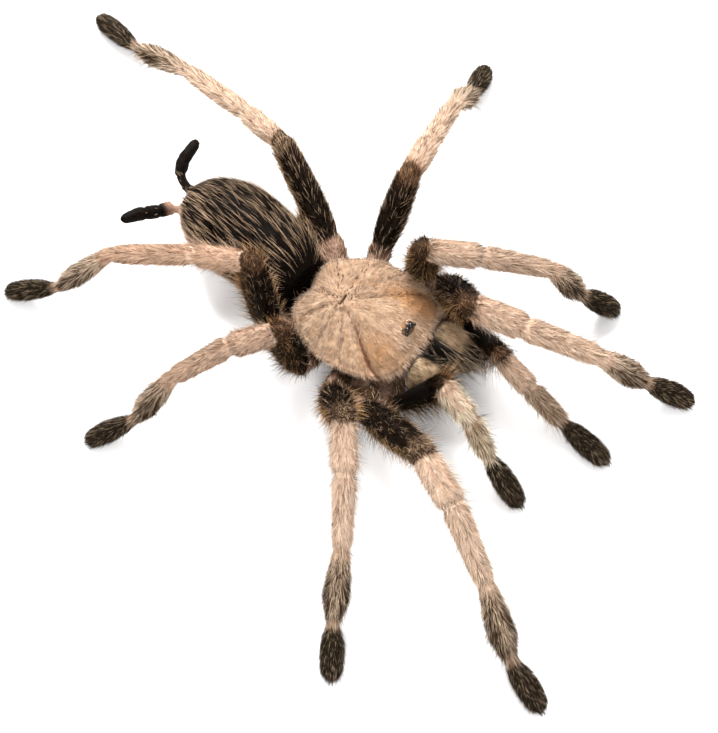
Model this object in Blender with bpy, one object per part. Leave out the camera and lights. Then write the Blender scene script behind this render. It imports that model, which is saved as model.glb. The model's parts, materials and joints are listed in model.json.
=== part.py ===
# Tarantula: the parts of an adult female Arizona blond tarantula, life size,
# standing with raised knees and one foot pad of every leg flat on the floor.
#
# Run it with: blender --background --python part.py
#
# The spider faces -Y, its left side is +X and +Z is up. The foot pads lie at Z = 0.
# Places are given as (forward, left, up) in millimetres from the floor under the
# middle of the carapace, and sizes cover the short coat as well as the body.

import math

import bmesh
import bpy
from mathutils import Vector

MM = 0.001
GAP = 0.3              # clear cut between neighbouring pieces
EYE_GAP = 0.06         # clear seat around each eye

# Carapace, the shield over the front half of the body.
CARAPACE_OUTLINE = (   # forward and half width, from the front middle round to the rear notch
    (10.1, 0.0), (9.8, 3.6), (8.9, 6.8), (6.0, 8.6), (1.5, 9.4),
    (-3.0, 9.0), (-6.6, 7.2), (-9.0, 4.9), (-9.5, 2.6), (-8.6, 0.0),
)
CARAPACE_EDGE_UP = 7.6
CARAPACE_EDGE_DEPTH = 0.5
THORAX_RISE = 2.0      # the rear shield's dome above the edge
CAPUT_RISE = 2.1       # the head region's further rise
CAPUT_BACK = -2.5      # where the head region starts to rise
CAPUT_TOP = 5.5        # where it is highest
CAPUT_HALF_WIDTHS = (2.9, 9.6)   # at its back and at the front edge
FOVEA = (-3.3, 0.0)    # the pit in the middle of the shield
FOVEA_DEPTH = 0.5

# Eyes: forward, side and up from the middle of the tubercle, and the radius of each.
TUBERCLE = (7.3, 0.0, 10.95)
TUBERCLE_RADII = (1.05, 1.4, 0.8)
TUBERCLE_SLOPE = 0.4   # how steeply its base falls to the front
EYES = {
    "anterior_median": ((0.42, 0.34, 0.50), 0.27),
    "anterior_lateral": ((0.62, 0.95, 0.10), 0.30),
    "posterior_median": ((-0.30, 0.66, 0.52), 0.20),
    "posterior_lateral": ((-0.28, 1.12, 0.22), 0.26),
}

# Chelicerae, the two jaws, and the fangs folded under them.
JAW_MIDDLE = (12.6, 3.05, 6.3)
JAW_RADII = (5.0, 2.8, 2.65)
JAW_DROOP = 12         # degrees that the jaws slope down to the front
JAW_BACK = 10.5        # their flat rear, just clear of the shield's front edge
JAW_BACK_SLANT = 5     # degrees that it runs back towards the outer side
FANG_ROUTE = ((16.2, 2.9, 2.9), (15.4, 2.9, 1.8), (13.2, 2.5, 1.4), (10.6, 2.1, 1.6))
FANG_RADII = (0.8, 0.75, 0.6, 0.25)

# Underside.
STERNUM_MIDDLE = (0.0, 0.0, 4.6)
STERNUM_RADII = (5.1, 3.2, 2.1)
LABIUM_MIDDLE = (6.4, 0.0, 3.4)
LABIUM_RADII = (0.8, 0.95, 1.0)

# Abdomen, waist and spinnerets.
WAIST_ROUTE = ((-5.7, 0.0, 5.3), (-9.4, 0.3, 5.9))
WAIST_RADIUS = 1.1
ABDOMEN_FRONT = (-9.8, 0.6, 7.0)
ABDOMEN_REAR = (-33.0, 4.3, 7.6)
ABDOMEN_HALF_WIDTH = 7.4
ABDOMEN_HALF_HEIGHT = 6.0
ABDOMEN_FULLNESS = 0.14   # how much fuller the rear is than the front
ABDOMEN_BLUNTNESS = 5     # how square its front end is; 2 would be an ellipse
SPINNERET_ROUTES = {
    "left": ((-33.6, 4.9, 7.2), (-35.2, 5.6, 8.1), (-36.1, 7.6, 9.2), (-35.9, 10.6, 9.8)),
    "right": ((-33.7, 1.2, 6.9), (-34.8, -0.9, 7.7), (-36.5, -3.4, 8.9), (-37.5, -5.2, 9.3)),
}
SPINNERET_RADII = (1.15, 1.05, 1.05, 0.82)

# Limbs. Lengths and greatest thicknesses run from the femur to the tarsus.
LEG_LENGTHS = {
    1: (15.0, 8.9, 11.5, 10.5, 7.8),
    2: (12.7, 8.5, 10.2, 9.6, 7.6),
    3: (12.0, 7.3, 9.1, 11.0, 8.0),
    4: (16.3, 8.2, 12.8, 15.3, 9.6),
}
LEG_THICKNESSES = {
    1: (4.9, 4.7, 3.8, 4.4, 4.2),
    2: (4.8, 4.3, 3.5, 4.2, 4.1),
    3: (4.6, 4.1, 3.4, 3.9, 3.9),
    4: (4.6, 3.8, 3.4, 3.7, 3.8),
}
PALP_LENGTHS = (10.4, 6.5, 6.5, 8.8)
PALP_THICKNESSES = (3.5, 3.8, 3.5, 4.1)

# Each leg: where its femur starts (forward, out, up), then each segment's heading and
# pitch in degrees. A heading turns from straight ahead to the leg's own side. The
# metatarsus has no pitch here, because it slopes down to where the tarsus stands.
LEG_POSES = {
    ("left", 1): ((7.2, 11.9, 5.0), ((-45, 49), (9, -5), (18, -19), (33, None), (18, -23))),
    ("left", 2): ((2.5, 12.5, 5.0), ((-57, 71), (25, -2), (30, -17), (40, None), (31, -40))),
    ("left", 3): ((-4.3, 12.1, 5.1), ((92, 47), (95, -5), (95, -10), (100, None), (99, -20))),
    ("left", 4): ((-11.2, 9.4, 4.9), ((151, 25), (166, -2), (167, -9), (164, None), (166, -5))),
    ("right", 1): ((7.6, 11.7, 5.1), ((22, 31), (30, -2), (34, -23), (38, None), (26, -14))),
    ("right", 2): ((2.3, 12.2, 5.1), ((46, 50), (57, -19), (61, -26), (66, None), (60, -20))),
    ("right", 3): ((-4.4, 10.5, 5.2), ((122, 76), (129, 1), (131, -28), (130, None), (131, -20))),
    ("right", 4): ((-10.6, 8.0, 5.2), ((188, 79), (158, -2), (160, -18), (159, None), (159, -25))),
}
PALP_POSES = {
    "left": ((11.0, 9.2, 4.3), ((-26, 16), (-13, -20), (-9, None), (-12, -7))),
    "right": ((10.8, 8.7, 4.7), ((-23, 53), (14, -24), (17, None), (20, -29))),
}
COXA_STARTS = {1: (4.3, 4.4, 4.3), 2: (1.2, 4.9, 4.3), 3: (-2.0, 4.8, 4.3), 4: (-5.0, 4.0, 4.3)}
MAXILLA_START = (7.3, 2.5, 3.3)
COXA_RADII = (1.32, 2.15)      # at the body and at the trochanter
MAXILLA_RADII = (1.3, 1.6)
SOLE_DEPTH = 0.35      # how much of a round tarsus the flat of its foot pad takes off

# How thick each kind of segment is along its length, as a share of its greatest.
FEMUR_SHAPE = ((0.0, 0.78), (0.35, 1.0), (0.7, 0.98), (1.0, 0.86))
PALP_FEMUR_SHAPE = ((0.0, 0.74), (0.35, 0.86), (0.75, 1.0), (1.0, 0.86))
PATELLA_SHAPE = ((0.0, 0.88), (0.5, 1.0), (1.0, 0.9))
TIBIA_SHAPE = ((0.0, 1.0), (0.45, 1.0), (0.85, 0.94), (1.0, 0.74))
METATARSUS_SHAPE = ((0.0, 0.72), (0.3, 0.9), (0.68, 1.0), (1.0, 0.55))
TARSUS_SHAPE = ((0.0, 0.55), (0.28, 0.9), (0.58, 1.0), (0.82, 0.9))
DOME = ((0.5, 0.87), (0.85, 0.53), (1.0, 0.2))   # a round end: reach and radius

# Colour, roughness and metallic value of each material.
FINISHES = {
    "pale_shield": ((0.62, 0.44, 0.29), 0.55, 0.0),
    "black_eye": ((0.012, 0.010, 0.009), 0.06, 0.0),
    "eye_mound": ((0.10, 0.055, 0.03), 0.4, 0.0),
    "jaw_coat": ((0.20, 0.13, 0.08), 0.7, 0.0),
    "black_fang": ((0.015, 0.012, 0.012), 0.2, 0.0),
    "dark_underside": ((0.06, 0.035, 0.022), 0.75, 0.0),
    "black_coat": ((0.022, 0.015, 0.011), 0.75, 0.0),
    "brown_coat": ((0.09, 0.05, 0.03), 0.75, 0.0),
    "blond_coat": ((0.60, 0.43, 0.31), 0.7, 0.0),
    "dark_foot": ((0.055, 0.042, 0.03), 0.7, 0.0),
    "spinneret_velvet": ((0.012, 0.010, 0.010), 0.85, 0.0),
}


def clear_scene():
    for obj in list(bpy.data.objects):
        bpy.data.objects.remove(obj, do_unlink=True)


def place(forward, left, up):
    """The spot in Blender's axes, in metres."""
    return Vector((left, -forward, up)) * MM


def heading_vector(heading, pitch, side):
    """The unit direction of a segment, in Blender's axes; side is 1 on the left, -1 on the right."""
    turn, rise = math.radians(heading), math.radians(pitch)
    level = math.cos(rise)
    return Vector((side * math.sin(turn) * level, -math.cos(turn) * level, math.sin(rise)))


def smooth_step(low, high, value):
    share = min(1.0, max(0.0, (value - low) / (high - low)))
    return share * share * (3 - 2 * share)


def material(name):
    found = bpy.data.materials.get(name)
    if found:
        return found
    colour, roughness, metallic = FINISHES[name]
    made = bpy.data.materials.new(name)
    made.use_nodes = True
    shader = made.node_tree.nodes["Principled BSDF"]
    shader.inputs["Base Color"].default_value = (*colour, 1)
    shader.inputs["Roughness"].default_value = roughness
    shader.inputs["Metallic"].default_value = metallic
    made.diffuse_color = (*colour, 1)
    return made


def add_piece(name, mesh, finish):
    """Makes the named object, smooth shaded, and hangs it on the body's origin."""
    piece = bpy.data.objects.new(name, mesh)
    bpy.data.collections["tarantula"].objects.link(piece)
    mesh.shade_smooth()
    mesh.set_sharp_from_angle(angle=math.radians(50))
    mesh.materials.clear()
    mesh.materials.append(material(finish))
    piece.parent = bpy.data.objects["spider_origin"]
    return piece


def mesh_from(bm, name):
    bmesh.ops.recalc_face_normals(bm, faces=bm.faces)
    mesh = bpy.data.meshes.new(name)
    bm.to_mesh(mesh)
    bm.free()
    return mesh


def shaped_ball(name, finish, shape, around, along, cuts=()):
    """A unit ball whose points are each moved by shape(x, y, z), then cut by planes."""
    bm = bmesh.new()
    bmesh.ops.create_uvsphere(bm, u_segments=around, v_segments=along, radius=1)
    for vertex in bm.verts:
        vertex.co = shape(*vertex.co)
    for point, outward in cuts:
        cut(bm, point, outward)
    return add_piece(name, mesh_from(bm, name), finish)


def cut(bm, point, outward):
    """Takes off what lies past a plane and closes the cut with one flat face."""
    parts = bm.verts[:] + bm.edges[:] + bm.faces[:]
    halved = bmesh.ops.bisect_plane(
        bm, geom=parts, dist=1e-7, plane_co=point, plane_no=outward, clear_outer=True
    )
    rim = [part for part in halved["geom_cut"] if isinstance(part, bmesh.types.BMEdge)]
    bmesh.ops.holes_fill(bm, edges=rim, sides=0)


def tube_mesh(name, points, radii, sides_setting=3):
    """A closed round tube through the points; its curve has 4 + 2 * sides_setting sides."""
    curve = bpy.data.curves.new(name, "CURVE")
    curve.dimensions = "3D"
    curve.bevel_depth = 1.0 * MM
    curve.bevel_resolution = sides_setting
    curve.use_fill_caps = True
    curve.twist_mode = "MINIMUM"
    spline = curve.splines.new("POLY")
    spline.points.add(len(points) - 1)
    for control, point, radius in zip(spline.points, points, radii):
        control.co = (*point, 1)
        control.radius = radius
    guide = bpy.data.objects.new(name + "_guide", curve)
    bpy.data.collections["tarantula"].objects.link(guide)
    graph = bpy.context.evaluated_depsgraph_get()
    mesh = bpy.data.meshes.new_from_object(guide.evaluated_get(graph))
    bpy.data.objects.remove(guide, do_unlink=True)
    bpy.data.curves.remove(curve)
    bm = bmesh.new()
    bm.from_mesh(mesh)
    bmesh.ops.remove_doubles(bm, verts=bm.verts, dist=1e-6)
    bpy.data.meshes.remove(mesh)
    return bm


def rounded_route(points, radii):
    """Adds a round end at both ends of a route."""
    head = (points[0] - points[1]).normalized()
    tail = (points[-1] - points[-2]).normalized()
    route = [points[0] + head * radii[0] * reach * MM for reach, _ in reversed(DOME)]
    sizes = [radii[0] * size for _, size in reversed(DOME)]
    route += points
    sizes += radii
    route += [points[-1] + tail * radii[-1] * reach * MM for reach, _ in DOME]
    sizes += [radii[-1] * size for _, size in DOME]
    return route, sizes


def segment_stations(start, end, thickness, shape, skip_first=False):
    """Points and radii along one straight segment of a limb."""
    rows = shape[1:] if skip_first else shape
    points = [start.lerp(end, share) for share, _ in rows]
    return points, [thickness / 2 * factor for _, factor in rows]


def joint_cut(joint, before, after, keep_before):
    """The plane that parts two segments at their joint, half a gap back from the middle."""
    mitre = (before + after).normalized()
    if keep_before:
        return joint - mitre * GAP / 2 * MM, mitre
    return joint + mitre * GAP / 2 * MM, -mitre


def limb_piece(name, finish, stations, cuts, floor=False):
    """One node of a limb: a round-ended tube, trimmed at its joints and on the floor."""
    points, radii = stations
    bm = tube_mesh(name, *rounded_route(points, radii))
    for point, outward in cuts:
        cut(bm, point, outward)
    if floor:
        cut(bm, Vector((0, 0, 0)), Vector((0, 0, -1)))
    return add_piece(name, mesh_from(bm, name), finish)


def tarsus_drop(length, thickness, pitch):
    """How far below its own start the lowest point of a tarsus lies, in millimetres."""
    slope = math.radians(-pitch)
    ends = [(share * length, factor * thickness / 2) for share, factor in TARSUS_SHAPE]
    far, last = ends[-1]
    ends += [(far + reach * last, size * last) for reach, size in DOME]
    return max(along * math.sin(slope) + radius * math.cos(slope) for along, radius in ends)


def limb_joints(start, lengths, poses, side, foot_thickness):
    """The limb's joint points and segment directions, in Blender's axes."""
    joints = [place(start[0], side * start[1], start[2])]
    directions = []
    for index, (length, (heading, pitch)) in enumerate(zip(lengths, poses)):
        if index == len(lengths) - 2:
            drop = tarsus_drop(lengths[-1], foot_thickness, poses[-1][1])
            fall = drop - SOLE_DEPTH - joints[-1].z / MM
            pitch = math.degrees(math.asin(fall / length))
        direction = heading_vector(heading, pitch, side)
        directions.append(direction)
        joints.append(joints[-1] + direction * length * MM)
    return joints, directions


def merged(*runs):
    points, radii = [], []
    for more_points, more_radii in runs:
        points += more_points
        radii += more_radii
    return points, radii


def build_coxa(name, start, base, radii, femur_direction, side):
    """The short first piece of a limb, from the sternum's edge out to the femur."""
    inner = place(start[0], side * start[1], start[2])
    along = (base - inner).normalized()
    middle = inner.lerp(base, 0.55)
    sizes = [radii[0], (radii[0] + 1.4 * radii[1]) / 2.4 + 0.1, radii[1]]
    cuts = [joint_cut(base, along, femur_direction, True), (inner, -along)]
    limb_piece(name, "brown_coat", ([inner, middle, base], sizes), cuts)
    return along


def build_leg(side_name, number):
    side = 1 if side_name == "left" else -1
    start, poses = LEG_POSES[side_name, number]
    lengths, thick = LEG_LENGTHS[number], LEG_THICKNESSES[number]
    joints, ways = limb_joints(start, lengths, poses, side, thick[-1])
    base, knee, shin, ankle, pad, tip = joints
    name = f"leg_{side_name}_{number}_"
    along = build_coxa(name + "coxa", COXA_STARTS[number], base, COXA_RADII, ways[0], side)
    limb_piece(
        name + "femur", "black_coat", segment_stations(base, knee, thick[0], FEMUR_SHAPE),
        [joint_cut(base, along, ways[0], False), joint_cut(knee, ways[0], ways[1], True)],
    )
    limb_piece(
        name + "patella_tibia", "blond_coat",
        merged(
            segment_stations(knee, shin, thick[1], PATELLA_SHAPE),
            segment_stations(shin, ankle, thick[2], TIBIA_SHAPE, skip_first=True),
        ),
        [joint_cut(knee, ways[0], ways[1], False), joint_cut(ankle, ways[2], ways[3], True)],
    )
    limb_piece(
        name + "metatarsus_tarsus", "dark_foot",
        merged(
            segment_stations(ankle, pad, thick[3], METATARSUS_SHAPE),
            segment_stations(pad, tip, thick[4], TARSUS_SHAPE, skip_first=True),
        ),
        [joint_cut(ankle, ways[2], ways[3], False)], floor=True,
    )


def build_palp(side_name):
    side = 1 if side_name == "left" else -1
    start, poses = PALP_POSES[side_name]
    thick = PALP_THICKNESSES
    joints, ways = limb_joints(start, PALP_LENGTHS, poses, side, thick[-1])
    base, knee, shin, ankle, tip = joints
    name = f"palp_{side_name}_"
    along = build_coxa(name + "coxa", MAXILLA_START, base, MAXILLA_RADII, ways[0], side)
    limb_piece(
        name + "femur", "black_coat",
        segment_stations(base, knee, thick[0], PALP_FEMUR_SHAPE),
        [joint_cut(base, along, ways[0], False), joint_cut(knee, ways[0], ways[1], True)],
    )
    limb_piece(
        name + "patella_tibia", "blond_coat",
        merged(
            segment_stations(knee, shin, thick[1], PATELLA_SHAPE),
            segment_stations(shin, ankle, thick[2], TIBIA_SHAPE, skip_first=True),
        ),
        [joint_cut(knee, ways[0], ways[1], False), joint_cut(ankle, ways[2], ways[3], True)],
    )
    limb_piece(
        name + "tarsus", "dark_foot", segment_stations(ankle, tip, thick[3], TARSUS_SHAPE),
        [joint_cut(ankle, ways[2], ways[3], False)], floor=True,
    )


def outline_reach(turn):
    """How far the carapace's edge is from its middle in a direction, 0 being straight ahead."""
    turn = abs(turn)
    polar = [(math.atan2(half, ahead), math.hypot(ahead, half)) for ahead, half in CARAPACE_OUTLINE]
    for (before, near), (after, far) in zip(polar, polar[1:]):
        if turn <= after:
            share = (turn - before) / (after - before)
            return near + (far - near) * share
    return polar[-1][1]


def carapace_up(ahead, out, spread):
    """Height of the shield's top; spread runs from 0 in its middle to 1 at its edge."""
    up = CARAPACE_EDGE_UP + THORAX_RISE * (1 - spread ** 2.4)
    climb = smooth_step(CAPUT_BACK, CAPUT_TOP, ahead)
    fall = 1 - 0.55 * smooth_step(CAPUT_TOP + 1.5, CARAPACE_OUTLINE[0][0], ahead)
    back, front = CAPUT_HALF_WIDTHS
    half = back + (front - back) * smooth_step(CAPUT_BACK, CARAPACE_OUTLINE[2][0], ahead)
    across = max(0.0, 1 - (out / half) ** 2) ** 2
    up += CAPUT_RISE * climb * fall * across
    pit = math.hypot(ahead - FOVEA[0], out - FOVEA[1])
    return up - FOVEA_DEPTH * math.exp(-(pit / 1.1) ** 2)


def carapace_point(x, y, z):
    """Where a point of the unit ball goes on the carapace; -Y of the ball is the front."""
    turn = math.atan2(x, -y)
    spread = min(1.0, math.hypot(x, y))
    spread = spread if z >= 0 else spread ** 0.6
    reach = outline_reach(turn) * spread
    ahead, out = reach * math.cos(turn), reach * math.sin(turn)
    if z >= -1e-4:
        return place(ahead, out, carapace_up(ahead, out, spread))
    front = smooth_step(CAPUT_TOP, CARAPACE_OUTLINE[0][0], ahead)
    under = CARAPACE_EDGE_UP - CARAPACE_EDGE_DEPTH * (1 - 0.2 * z)
    lift = CAPUT_RISE * 0.45 * front * max(0.0, 1 - (out / CAPUT_HALF_WIDTHS[1]) ** 2)
    return place(ahead, out, under + lift)


def build_carapace():
    shaped_ball("carapace", "pale_shield", carapace_point, 32, 12)


def ball_of(middle, radii):
    """Shape function of an upright ellipsoid."""
    def shape(x, y, z):
        return place(middle[0] - y * radii[0], middle[1] + x * radii[1], middle[2] + z * radii[2])
    return shape


def build_eyes():
    """The eye mound with its eight seats, and the eight eyes in them."""
    base = place(TUBERCLE[0], TUBERCLE[1], TUBERCLE[2])
    mound = shaped_ball(
        "eye_tubercle", "eye_mound", ball_of(TUBERCLE, TUBERCLE_RADII), 12, 7,
        [(base, Vector((0, TUBERCLE_SLOPE, -1)).normalized())],
    )
    for side_name, side in (("left", 1), ("right", -1)):
        for kind, ((ahead, out, up), radius) in EYES.items():
            middle = (TUBERCLE[0] + ahead, TUBERCLE[1] + side * out, TUBERCLE[2] + up)
            name = f"eye_{kind}_{side_name}"
            shaped_ball(name, "black_eye", ball_of(middle, (radius,) * 3), 8, 5)
            seat = (radius + EYE_GAP,) * 3
            cutter = shaped_ball(name + "_seat", "black_eye", ball_of(middle, seat), 8, 5)
            bpy.data.collections["tarantula"].objects.unlink(cutter)
            bpy.data.collections["cutters"].objects.link(cutter)
            cutter.hide_render = True
            cutter.display_type = "WIRE"
            socket = mound.modifiers.new(name, "BOOLEAN")
            socket.operation = "DIFFERENCE"
            socket.object = cutter


def build_jaw(side_name, side):
    droop = math.radians(JAW_DROOP)

    def shape(x, y, z):
        """The ball's +Z pole is the jaw's tip; it narrows and rounds off there."""
        along = JAW_RADII[0] * z
        narrow = 1 - 0.3 * max(0.0, z) ** 2
        out = x * JAW_RADII[1] * narrow
        rise = y * JAW_RADII[2] * narrow
        ahead = along * math.cos(droop) + rise * math.sin(droop)
        up = rise * math.cos(droop) - along * math.sin(droop)
        return place(JAW_MIDDLE[0] + ahead, side * (JAW_MIDDLE[1] + out), JAW_MIDDLE[2] + up)

    slant = math.radians(JAW_BACK_SLANT)
    backward = Vector((-side * math.sin(slant), math.cos(slant), 0))
    shaped_ball(
        f"chelicera_{side_name}", "jaw_coat", shape, 16, 12,
        [(place(JAW_BACK, 0, 0), backward)],
    )
    route = [place(ahead, side * out, up) for ahead, out, up in FANG_ROUTE]
    bm = tube_mesh("fang", *rounded_route(route, list(FANG_RADII)), sides_setting=2)
    add_piece(f"fang_{side_name}", mesh_from(bm, "fang"), "black_fang")


def build_underside():
    shaped_ball(
        "sternum", "dark_underside",
        lambda x, y, z: ball_of(STERNUM_MIDDLE, STERNUM_RADII)(
            *(math.copysign(abs(part) ** 0.75, part) for part in (x, y, z))
        ),
        16, 8,
    )
    shaped_ball("labium", "dark_underside", ball_of(LABIUM_MIDDLE, LABIUM_RADII), 10, 6)


def build_abdomen():
    """An egg from the waist to the spinnerets, fullest a little behind its middle."""
    front, rear = place(*ABDOMEN_FRONT), place(*ABDOMEN_REAR)
    along = (rear - front).normalized()
    side = along.cross(Vector((0, 0, 1))).normalized()
    upward = side.cross(along)
    middle, half = (front + rear) / 2, (rear - front).length / 2

    def shape(x, y, z):
        full = 1 + ABDOMEN_FULLNESS * z - 0.08 * z * z
        if -1 < z < 0:
            full *= math.sqrt((1 - abs(z) ** ABDOMEN_BLUNTNESS) / (1 - z * z))
        sink = 0.93 if y < 0 else 1.0
        return (
            middle + along * half * z
            + side * ABDOMEN_HALF_WIDTH * MM * x * full
            + upward * ABDOMEN_HALF_HEIGHT * MM * y * full * sink
        )

    shaped_ball("abdomen", "black_coat", shape, 24, 16, [(front + along * 0.35 * MM, -along)])
    waist = [place(*point) for point in WAIST_ROUTE]
    bm = tube_mesh("pedicel", waist, [WAIST_RADIUS, WAIST_RADIUS])
    add_piece("pedicel", mesh_from(bm, "pedicel"), "dark_underside")


def build_spinnerets():
    for side_name, route in SPINNERET_ROUTES.items():
        points = [place(*point) for point in route]
        bm = tube_mesh("spinneret", *rounded_route(points, list(SPINNERET_RADII)))
        cut(bm, points[0], points[0] - points[1])
        add_piece(f"spinneret_{side_name}", mesh_from(bm, "spinneret"), "spinneret_velvet")


def centre_over_origin():
    """Moves the spider so that the middle of its outline on the floor is at the origin."""
    bpy.context.view_layer.update()
    corners = [
        piece.matrix_world @ Vector(corner)
        for piece in bpy.data.collections["tarantula"].objects
        if piece.type == "MESH"
        for corner in piece.bound_box
    ]
    for axis in (0, 1):
        low = min(corner[axis] for corner in corners)
        high = max(corner[axis] for corner in corners)
        bpy.data.objects["spider_origin"].location[axis] = -(low + high) / 2


def main():
    clear_scene()
    for name in ("tarantula", "cutters"):
        bpy.context.scene.collection.children.link(bpy.data.collections.new(name))
    origin = bpy.data.objects.new("spider_origin", None)
    bpy.data.collections["tarantula"].objects.link(origin)
    build_carapace()
    build_eyes()
    for side_name, side in (("left", 1), ("right", -1)):
        build_jaw(side_name, side)
        build_palp(side_name)
        for number in LEG_LENGTHS:
            build_leg(side_name, number)
    build_underside()
    build_abdomen()
    build_spinnerets()
    centre_over_origin()


main()
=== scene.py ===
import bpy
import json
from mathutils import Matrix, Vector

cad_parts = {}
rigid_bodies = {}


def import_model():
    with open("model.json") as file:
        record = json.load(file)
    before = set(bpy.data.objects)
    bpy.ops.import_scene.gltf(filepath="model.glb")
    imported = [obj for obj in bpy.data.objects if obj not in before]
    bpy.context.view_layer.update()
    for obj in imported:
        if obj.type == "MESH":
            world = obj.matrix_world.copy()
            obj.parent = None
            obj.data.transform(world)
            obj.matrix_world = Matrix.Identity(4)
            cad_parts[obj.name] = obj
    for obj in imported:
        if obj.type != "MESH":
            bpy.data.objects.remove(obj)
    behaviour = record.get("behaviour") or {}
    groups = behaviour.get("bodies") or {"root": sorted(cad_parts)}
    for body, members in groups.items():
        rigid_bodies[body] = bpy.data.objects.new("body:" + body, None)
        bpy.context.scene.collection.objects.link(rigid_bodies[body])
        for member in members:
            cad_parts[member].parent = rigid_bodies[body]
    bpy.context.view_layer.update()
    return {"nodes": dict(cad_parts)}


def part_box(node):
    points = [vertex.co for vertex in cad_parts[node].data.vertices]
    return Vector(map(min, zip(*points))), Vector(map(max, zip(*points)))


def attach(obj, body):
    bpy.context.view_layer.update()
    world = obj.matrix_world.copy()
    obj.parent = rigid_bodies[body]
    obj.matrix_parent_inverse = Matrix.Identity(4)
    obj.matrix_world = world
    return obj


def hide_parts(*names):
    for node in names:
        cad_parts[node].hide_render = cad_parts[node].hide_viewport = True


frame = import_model()

import json
import math
from types import SimpleNamespace

import bpy
import numpy as np
from mathutils import Vector

mm = 0.001
mergeGap = 1e-6   # vertices nearer than this are one, metres
sides = {"left": 1, "right": -1}
nodes = frame["nodes"]
rng = np.random.default_rng(27)


def unit(v):
    return v / np.maximum(np.linalg.norm(v, axis=-1, keepdims=True), 1e-12)


def smoothStep(low, high, value):
    share = np.clip((value - low) / (high - low), 0, 1)
    return share * share * (3 - 2 * share)


def mix(a, b, share):
    share = np.asarray(share)[..., None]
    return np.asarray(a) * (1 - share) + np.asarray(b) * share


def hashOf(cells, seed):
    n = (cells[..., 0] * 73856093) ^ (cells[..., 1] * 19349663) ^ (cells[..., 2] * 83492791)
    n = (n ^ (seed * 2654435761)) & 0xFFFFFFFF
    n = ((n ^ (n >> 15)) * 2246822519) & 0xFFFFFFFF
    n = ((n ^ (n >> 13)) * 3266489917) & 0xFFFFFFFF
    return ((n ^ (n >> 16)) & 0xFFFFFF) / 0xFFFFFF


def softNoise(points, size, seed):
    # smooth noise from 0 to 1, with lumps of the given size in metres
    p = np.asarray(points) / size + 1000
    low = np.floor(p).astype(np.int64)
    part = p - low
    part = part * part * (3 - 2 * part)
    total = 0
    for corner in range(8):
        step = np.array([corner & 1, corner >> 1 & 1, corner >> 2 & 1])
        weight = np.prod(np.where(step == 1, part, 1 - part), axis=-1)
        total = total + weight * hashOf(low + step, seed)
    return total


# the spider's own directions, read from the shield's place
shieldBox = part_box("carapace")
shieldFront = 10.1   # from the shield's middle to its front edge, mm
moundAhead = 7.35    # from its middle to the eye mound, mm
middle = Vector(((shieldBox[0].x + shieldBox[1].x) / 2, shieldBox[0].y + shieldFront * mm, 0))


def place(forward, left, up):
    return np.array([middle.x + left * mm, middle.y - forward * mm, up * mm])


def bodyPlace(points):
    # forward, left and up from the floor under the shield's middle, in millimetres
    p = np.asarray(points)
    return (middle.y - p[..., 1]) / mm, (p[..., 0] - middle.x) / mm, p[..., 2] / mm


def deselectAll():
    for obj in bpy.context.view_layer.objects:
        obj.select_set(False)


def pick(obj):
    deselectAll()
    obj.select_set(True)
    bpy.context.view_layer.objects.active = obj


def applyAll(obj):
    pick(obj)
    for modifier in list(obj.modifiers):
        bpy.ops.object.modifier_apply(modifier=modifier.name)


def addObject(name, data):
    obj = bpy.data.objects.new(name, data)
    bpy.context.scene.collection.objects.link(obj)
    return obj


def editMesh(*steps):
    # edits the whole of the active object, one step after another
    bpy.ops.object.mode_set(mode="EDIT")
    bpy.ops.mesh.select_all(action="SELECT")
    for step in steps:
        step()
    bpy.ops.object.mode_set(mode="OBJECT")


def mergeClose():
    bpy.ops.mesh.remove_doubles(threshold=mergeGap)


def faceOutward():
    bpy.ops.mesh.select_all(action="SELECT")
    bpy.ops.mesh.normals_make_consistent(inside=False)


def unitSphere(name, segments, rings):
    deselectAll()
    bpy.ops.mesh.primitive_uv_sphere_add(segments=segments, ring_count=rings, radius=1)
    obj = bpy.context.active_object
    obj.name = obj.data.name = name
    return obj


def nodeCopy(name, newName):
    copy = addObject(newName, nodes[name].data.copy())
    copy.data.materials.clear()
    pick(copy)
    editMesh(mergeClose)
    return copy


def joinAll(objects, name):
    deselectAll()
    for obj in objects:
        obj.select_set(True)
    bpy.context.view_layer.objects.active = objects[0]
    if len(objects) > 1:
        bpy.ops.object.join()
    joined = bpy.context.view_layer.objects.active
    joined.name = joined.data.name = name
    return joined


def readField(items, field, size=1, kind=np.int32):
    values = np.empty(len(items) * size, kind)
    items.foreach_get(field, values)
    return values.reshape(-1, size) if size > 1 else values


def vertsOf(mesh):
    return readField(mesh.vertices, "co", 3, np.float32).astype(float)


def trianglesOf(mesh):
    mesh.calc_loop_triangles()
    return readField(mesh.loop_triangles, "vertices", 3)


def faceCross(co, tri):
    # each triangle's normal, twice its area long
    a, b, c = co[tri[:, 0]], co[tri[:, 1]], co[tri[:, 2]]
    return np.cross(b - a, c - a)


def areaOf(co, tri):
    return np.linalg.norm(faceCross(co, tri), axis=1) / 2


def setVerts(mesh, co):
    mesh.vertices.foreach_set("co", np.ascontiguousarray(co, np.float32).ravel())
    mesh.update()


def normalsOf(mesh):
    return readField(mesh.vertices, "normal", 3, np.float32).astype(float)


def setTint(mesh, colours):
    layer = mesh.color_attributes.new("tint", "FLOAT_COLOR", "POINT")
    rows = np.ones((len(mesh.vertices), 4), np.float32)
    rows[:, :3] = np.clip(colours, 0, 1)
    layer.data.foreach_set("color", rows.ravel())


def finishPiece(obj, material, slot, *replaced):
    obj.data.materials.clear()
    obj.data.materials.append(material)
    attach(obj, "root")
    if replaced:
        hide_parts(*replaced)


def asArrays(table):
    # the table's rows as arrays, each read by its name
    return SimpleNamespace(**{name: np.array(value) for name, value in table.items()})


# materials
def nodeTree(name):
    material = bpy.data.materials.new(name)
    material.use_nodes = True
    tree = material.node_tree
    return material, tree, tree.nodes["Principled BSDF"]


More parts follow.
